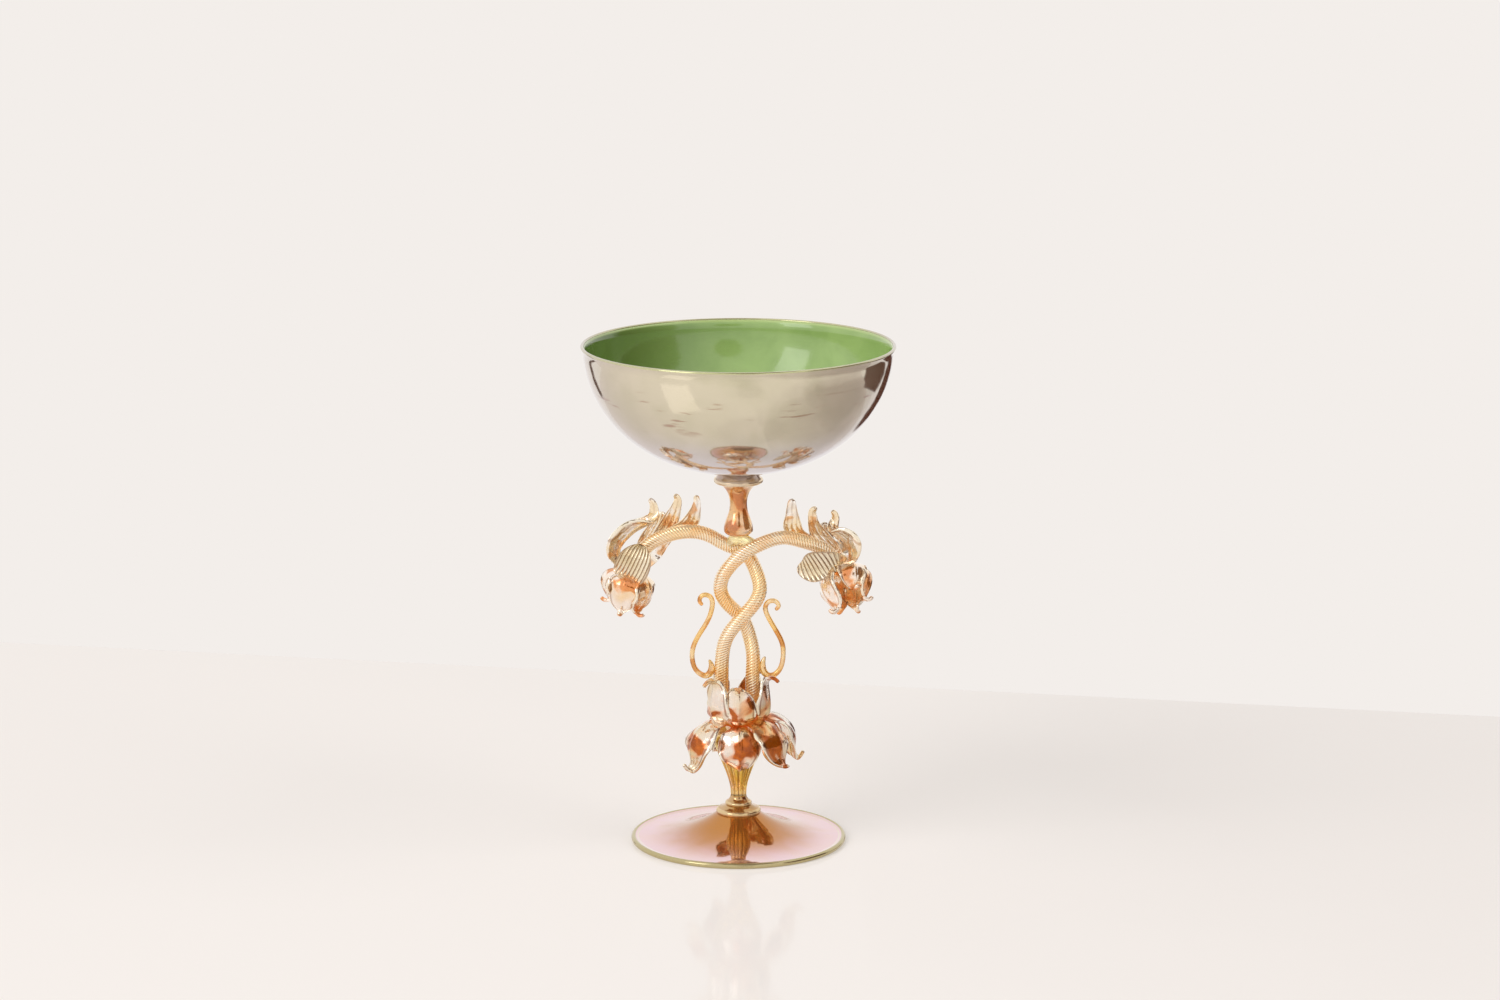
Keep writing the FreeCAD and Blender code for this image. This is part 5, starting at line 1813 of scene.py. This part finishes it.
RIGHT_BLOSSOM = ArmBlossom(
    "right", 1,
    horns={
        "outer": LongPetal((0, 1, 0), [
            (0.13, 0.05, 0.11, 0.34, 0.08, 0), (0.35, 0.1, 0.45, 0.5, 0.26, 0),
            (0.3, 0.17, 0.95, 0.68, 0.58, 0), (-0.02, 0.31, 1.41, 0.68, 0.58, 0),
            (-0.41, 0.66, 1.62, 0.46, 0.24, -15), (-0.48, 0.9, 1.91, 0.32, 0.08, -50),
            (-0.36, 0.99, 2.28, 0.22, 0.0, -90), (-0.36, 0.99, 2.58, 0.17, 0.0, -90),
            (-0.53, 0.99, 2.78, 0.12, 0.0, -90)]),
        "middle": LongPetal((-0.8, 0, -0.6), [
            (-0.21, 0.45, 0.26, 0.32, 0.06, 0), (-0.39, 1.65, 0.61, 0.42, 0.12, 0),
            (-0.74, 1.88, 1.03, 0.42, 0.13, 0), (-1.11, 1.88, 1.44, 0.42, 0.1, 0),
            (-1.36, 1.74, 1.91, 0.33, 0.04, 0), (-1.46, 1.6, 2.38, 0.23, 0.0, 0),
            (-1.44, 1.53, 2.72, 0.18, 0.0, 0), (-1.24, 1.5, 2.87, 0.12, 0.0, 0)]),
        "inner": LongPetal((-0.7, 0, -0.7), [
            (-0.31, 0.45, 0.21, 0.32, 0.06, 0), (-0.7, 1.01, 0.54, 0.38, 0.1, 0),
            (-1.19, 1.15, 0.92, 0.34, 0.1, 0), (-1.73, 1.18, 1.27, 0.32, 0.09, 0),
            (-2.2, 1.18, 1.58, 0.38, 0.08, 0), (-2.45, 1.18, 1.98, 0.46, 0.06, 0),
            (-2.48, 1.17, 2.49, 0.35, 0.03, 0), (-2.5, 1.13, 2.94, 0.26, 0.0, 0),
            (-2.44, 1.1, 3.37, 0.15, 0.0, 0)]),
        "back": LongPetal((-1, 0, 0), [
            (-0.01, 0.7, 0.33, 0.32, 0.06, 0), (-0.19, 2.24, 0.73, 0.46, 0.12, 0),
            (-0.48, 2.68, 1.18, 0.48, 0.14, 0), (-0.76, 2.68, 1.59, 0.42, 0.1, 0),
            (-0.86, 2.61, 1.82, 0.34, 0.05, 0), (-0.86, 2.57, 2.01, 0.2, 0.01, 0)])},
    apron=LongPetal((0, 0, -1), [
        (0.10, -0.4, 0.26, 0.32, 0.06, 0), (-0.15, -1.1, 0.45, 0.40, 0.10, 0),
        (-0.60, -1.5, 0.48, 0.55, 0.16, 0), (-1.06, -1.62, 0.38, 0.70, 0.22, 0),
        (-1.56, -1.55, 0.26, 0.72, 0.22, 0), (-1.96, -1.4, 0.22, 0.52, 0.14, 0),
        (-2.18, -1.25, 0.28, 0.30, 0.06, 0)]),
    bud={
        "outer": (5, 1.02, 0.95, 1.0), "front": (-58, 1.0, 0.80, 1.05), "inner": (-156, 1.02, 1.18, 1.15),
        "back_inner": (138, 0.90, 0.98, 0.84), "back_outer": (72, 0.92, 1.0, 0.86)},
    lean=14.0, tilt=42.0, apron_slant=72.0)


@dataclass(frozen=True)
class SoftBox:
    """A rectangular lamp that looks at the goblet's middle. Lengths are in metres.

    Fields:
        name: its name.
        place: its middle.
        size: its width and height.
        power: its power in watts.
        seen: whether polished glass mirrors it.
        aim: what it looks at.
    """

    name: str
    place: Point
    size: Span
    power: float
    seen: bool = False
    aim: Point = (0.0, 0.0, 0.14)

    def hang(self) -> None:
        """Hang the lamp and turn it to what it looks at."""
        data = bpy.data.lights.new(self.name, "AREA")
        data.shape = "RECTANGLE"
        data.size, data.size_y = self.size
        data.energy = self.power
        lamp = bpy.data.objects.new(self.name, data)
        sight = np.array(self.aim) - np.array(self.place)
        flat = math.hypot(sight[0], sight[1])
        lamp.location = self.place
        lamp.rotation_euler = (math.atan2(flat, -sight[2]), 0.0, math.atan2(-sight[0], sight[1]))
        lamp.visible_glossy = self.seen
        bpy.context.scene.collection.objects.link(lamp)


@dataclass(frozen=True)
class Flag:
    """A sheet of dark felt that only polished glass sees, as dark shapes and lines along its curves.

    Fields:
        name: its name.
        place: its middle, in metres.
        size: its two edges, in metres.
        lift, turn: its turn about X and then about Z, in degrees, from lying flat.
        cover: how much light it takes away, from 0 to 1.
        felt: its colour.
        fray: width in millimetres of the lumps that break up its edge.
    """

    name: str
    place: Point
    size: Span
    lift: float = 0.0
    turn: float = 0.0
    cover: float = 1.0
    felt: Colour = srgb(86, 34, 10)
    fray: float = 180.0

    def material(self) -> bpy.types.Material:
        """Return the felt, which thins out from the middle of the flag to its edge."""
        glass = GlassNodes(self.name + "_felt")
        reach = glass.node("ShaderNodeVectorMath", {"operation": "DISTANCE"}, {0: glass.place, 1: self.place})
        spread = Number(glass, reach.outputs["Value"]) / (max(self.size) / 2)
        spread = spread + glass.noise(self.fray, 3.0) * 0.5
        cloth = (1 - spread.step(self.cover - 0.05, 1.2)) * self.cover
        return glass.finish(glass.surface(Base_Color=self.felt, Roughness=0.9, Alpha=cloth))

    def hang(self) -> None:
        """Hang the flag where neither the camera nor soft light sees it."""
        wide, high = self.size[0] / 2, self.size[1] / 2
        corners = np.array([(-wide, -high, 0), (wide, -high, 0), (wide, high, 0), (-wide, high, 0)])
        turned = rotation(Axis.Z, self.turn) @ rotation(Axis.X, self.lift)
        mesh = bpy.data.meshes.new(self.name)
        mesh.from_pydata((corners @ turned.T + self.place).tolist(), [], [[0, 1, 2, 3]])
        mesh.materials.append(self.material())
        flag = bpy.data.objects.new(self.name, mesh)
        flag.visible_camera = False
        flag.visible_diffuse = False
        flag.visible_shadow = False
        bpy.context.scene.collection.objects.link(flag)


@dataclass(frozen=True)
class Studio:
    """The pale glossy table, soft lamps, flags and camera. Lengths are in metres.

    Fields:
        table_radius, table_depth: how far the table reaches to the sides and front, and to the back.
        table_skew: how far its back edge runs askew, as a share of its radius.
        table_colour, table_glow, table_light: its cloth, the light it gives off, and how strong that is.
        table_gloss: share of the table's surface that mirrors.
        room_colour, room_light: colour and strength of the even light.
        backdrop_colour: what the camera sees behind the table.
        camera_place, camera_pitch: where the camera stands and how many degrees it looks down.
        focal_length, sensor_width: its lens and film, in millimetres.
        lamps, flags: the soft boxes and the felt flags.
    """

    table_radius: float = 6.0
    table_depth: float = 0.32
    table_skew: float = 0.2
    table_colour: Colour = srgb(206, 200, 196)
    table_glow: Colour = srgb(242, 237, 233)
    table_light: float = 0.42
    table_gloss: float = 0.10
    room_colour: Colour = srgb(254, 252, 249)
    room_light: float = 0.32
    backdrop_colour: Colour = srgb(243, 238, 234)
    camera_place: Point = (0.0057, -2.115, 0.624)
    camera_pitch: float = 12.05
    focal_length: float = 105.9
    sensor_width: float = 36.0
    lamps: tuple[SoftBox, ...] = (
        SoftBox("fill_left", (-4.5, -3.3, 4.5), (6.0, 6.0), 310.0),
        SoftBox("fill_right", (4.8, -1.5, 3.9), (4.5, 4.5), 130.0),
        SoftBox("soft_box_left", (-2.2, -1.9, 1.9), (1.3, 1.6), 15.0, seen=True))
    flags: tuple[Flag, ...] = (
        Flag("flag_ceiling", (0.4, -0.9, 2.6), (2.4, 2.2)),
        Flag("flag_front", (0.5, -3.2, 1.5), (1.6, 1.2), 90.0),
        Flag("wall_right", (2.6, -0.6, 1.15), (4.0, 2.2), 90.0, 90.0),
        Flag("flag_right", (0.95, 0.62, -0.08), (0.8, 0.34), 90.0, 123.0),
        Flag("shade_right", (0.46, 0.0, 0.003), (0.8, 1.1), cover=0.45),
        Flag("flag_back", (0.46, 0.88, -0.12), (0.34, 0.44), 90.0, 152.0),
        Flag("flag_left", (-0.66, 0.80, -0.06), (0.10, 0.34), 90.0, 40.0))

    def camera(self) -> None:
        """Set the camera at the photograph's viewing angle."""
        data = bpy.data.cameras.new("camera")
        data.lens = self.focal_length
        data.sensor_width = self.sensor_width
        camera = bpy.data.objects.new("camera", data)
        camera.location = self.camera_place
        camera.rotation_euler = (math.radians(90 - self.camera_pitch), 0.0, 0.0)
        bpy.context.scene.collection.objects.link(camera)
        bpy.context.scene.camera = camera

    def table(self) -> None:
        """Lay the table: white and slightly glossy, so that the goblet mirrors faintly in it."""
        wide, back = self.table_radius, self.table_depth
        skew = wide * self.table_skew
        corners = [(-wide, -wide, 0), (wide, -wide, 0), (wide, back - skew, 0), (-wide, back + skew, 0)]
        mesh = bpy.data.meshes.new("table")
        mesh.from_pydata(corners, [], [[0, 1, 2, 3]])
        glass = GlassNodes("table_gloss")
        cloth = glass.surface(
            Base_Color=self.table_colour, Roughness=0.6, Specular_IOR_Level=0.0,
            Emission_Color=self.table_glow, Emission_Strength=self.table_light)
        gloss = glass.surface(Base_Color=self.table_glow, Metallic=1.0, Roughness=0.08)
        mesh.materials.append(glass.finish(glass.blended(self.table_gloss, cloth, gloss)))
        table = bpy.data.objects.new("table", mesh)
        bpy.context.scene.collection.objects.link(table)

    def room(self) -> None:
        """Fill the room with even light, and let gloss, glass and the camera see it as near white."""
        world = bpy.data.worlds.new("room")
        bpy.context.scene.world = world
        nodes = NodeTree(world)
        rays = nodes.node("ShaderNodeLightPath", {}, {}).outputs
        even = {"Color": self.room_colour, "Strength": self.room_light}
        light = nodes.node("ShaderNodeBackground", {}, even).outputs[0]
        for ray, colour in (("Is Glossy Ray", self.room_colour), ("Is Transmission Ray", self.room_colour),
                            ("Is Camera Ray", self.backdrop_colour)):
            seen = nodes.node("ShaderNodeBackground", {}, {"Color": colour, "Strength": 1.0}).outputs[0]
            light = nodes.blended(rays[ray], light, seen)
        nodes.node("ShaderNodeOutputWorld", {}, {"Surface": light})

    def make(self) -> None:
        """Set up the camera, table, lamps, flags and room."""
        self.camera()
        self.table()
        for light in (*self.lamps, *self.flags):
            light.hang()
            LOG.info("%s hangs at %s", light.name, light.place)
        self.room()
        bpy.context.scene.view_settings.view_transform = "Standard"


def main() -> None:
    """Build the goblet's pieces in order, then the studio."""
    logging.basicConfig(level=logging.INFO, format="%(name)s: %(message)s")
    Foot().make()
    VaseKnop().make()
    StemBlossom().make()
    left, right = TwistedCanes().make()
    Bowl().make()
    LEFT_BLOSSOM.make(left)
    RIGHT_BLOSSOM.make(right)
    Studio().make()


if __name__ == "__main__":
    main()
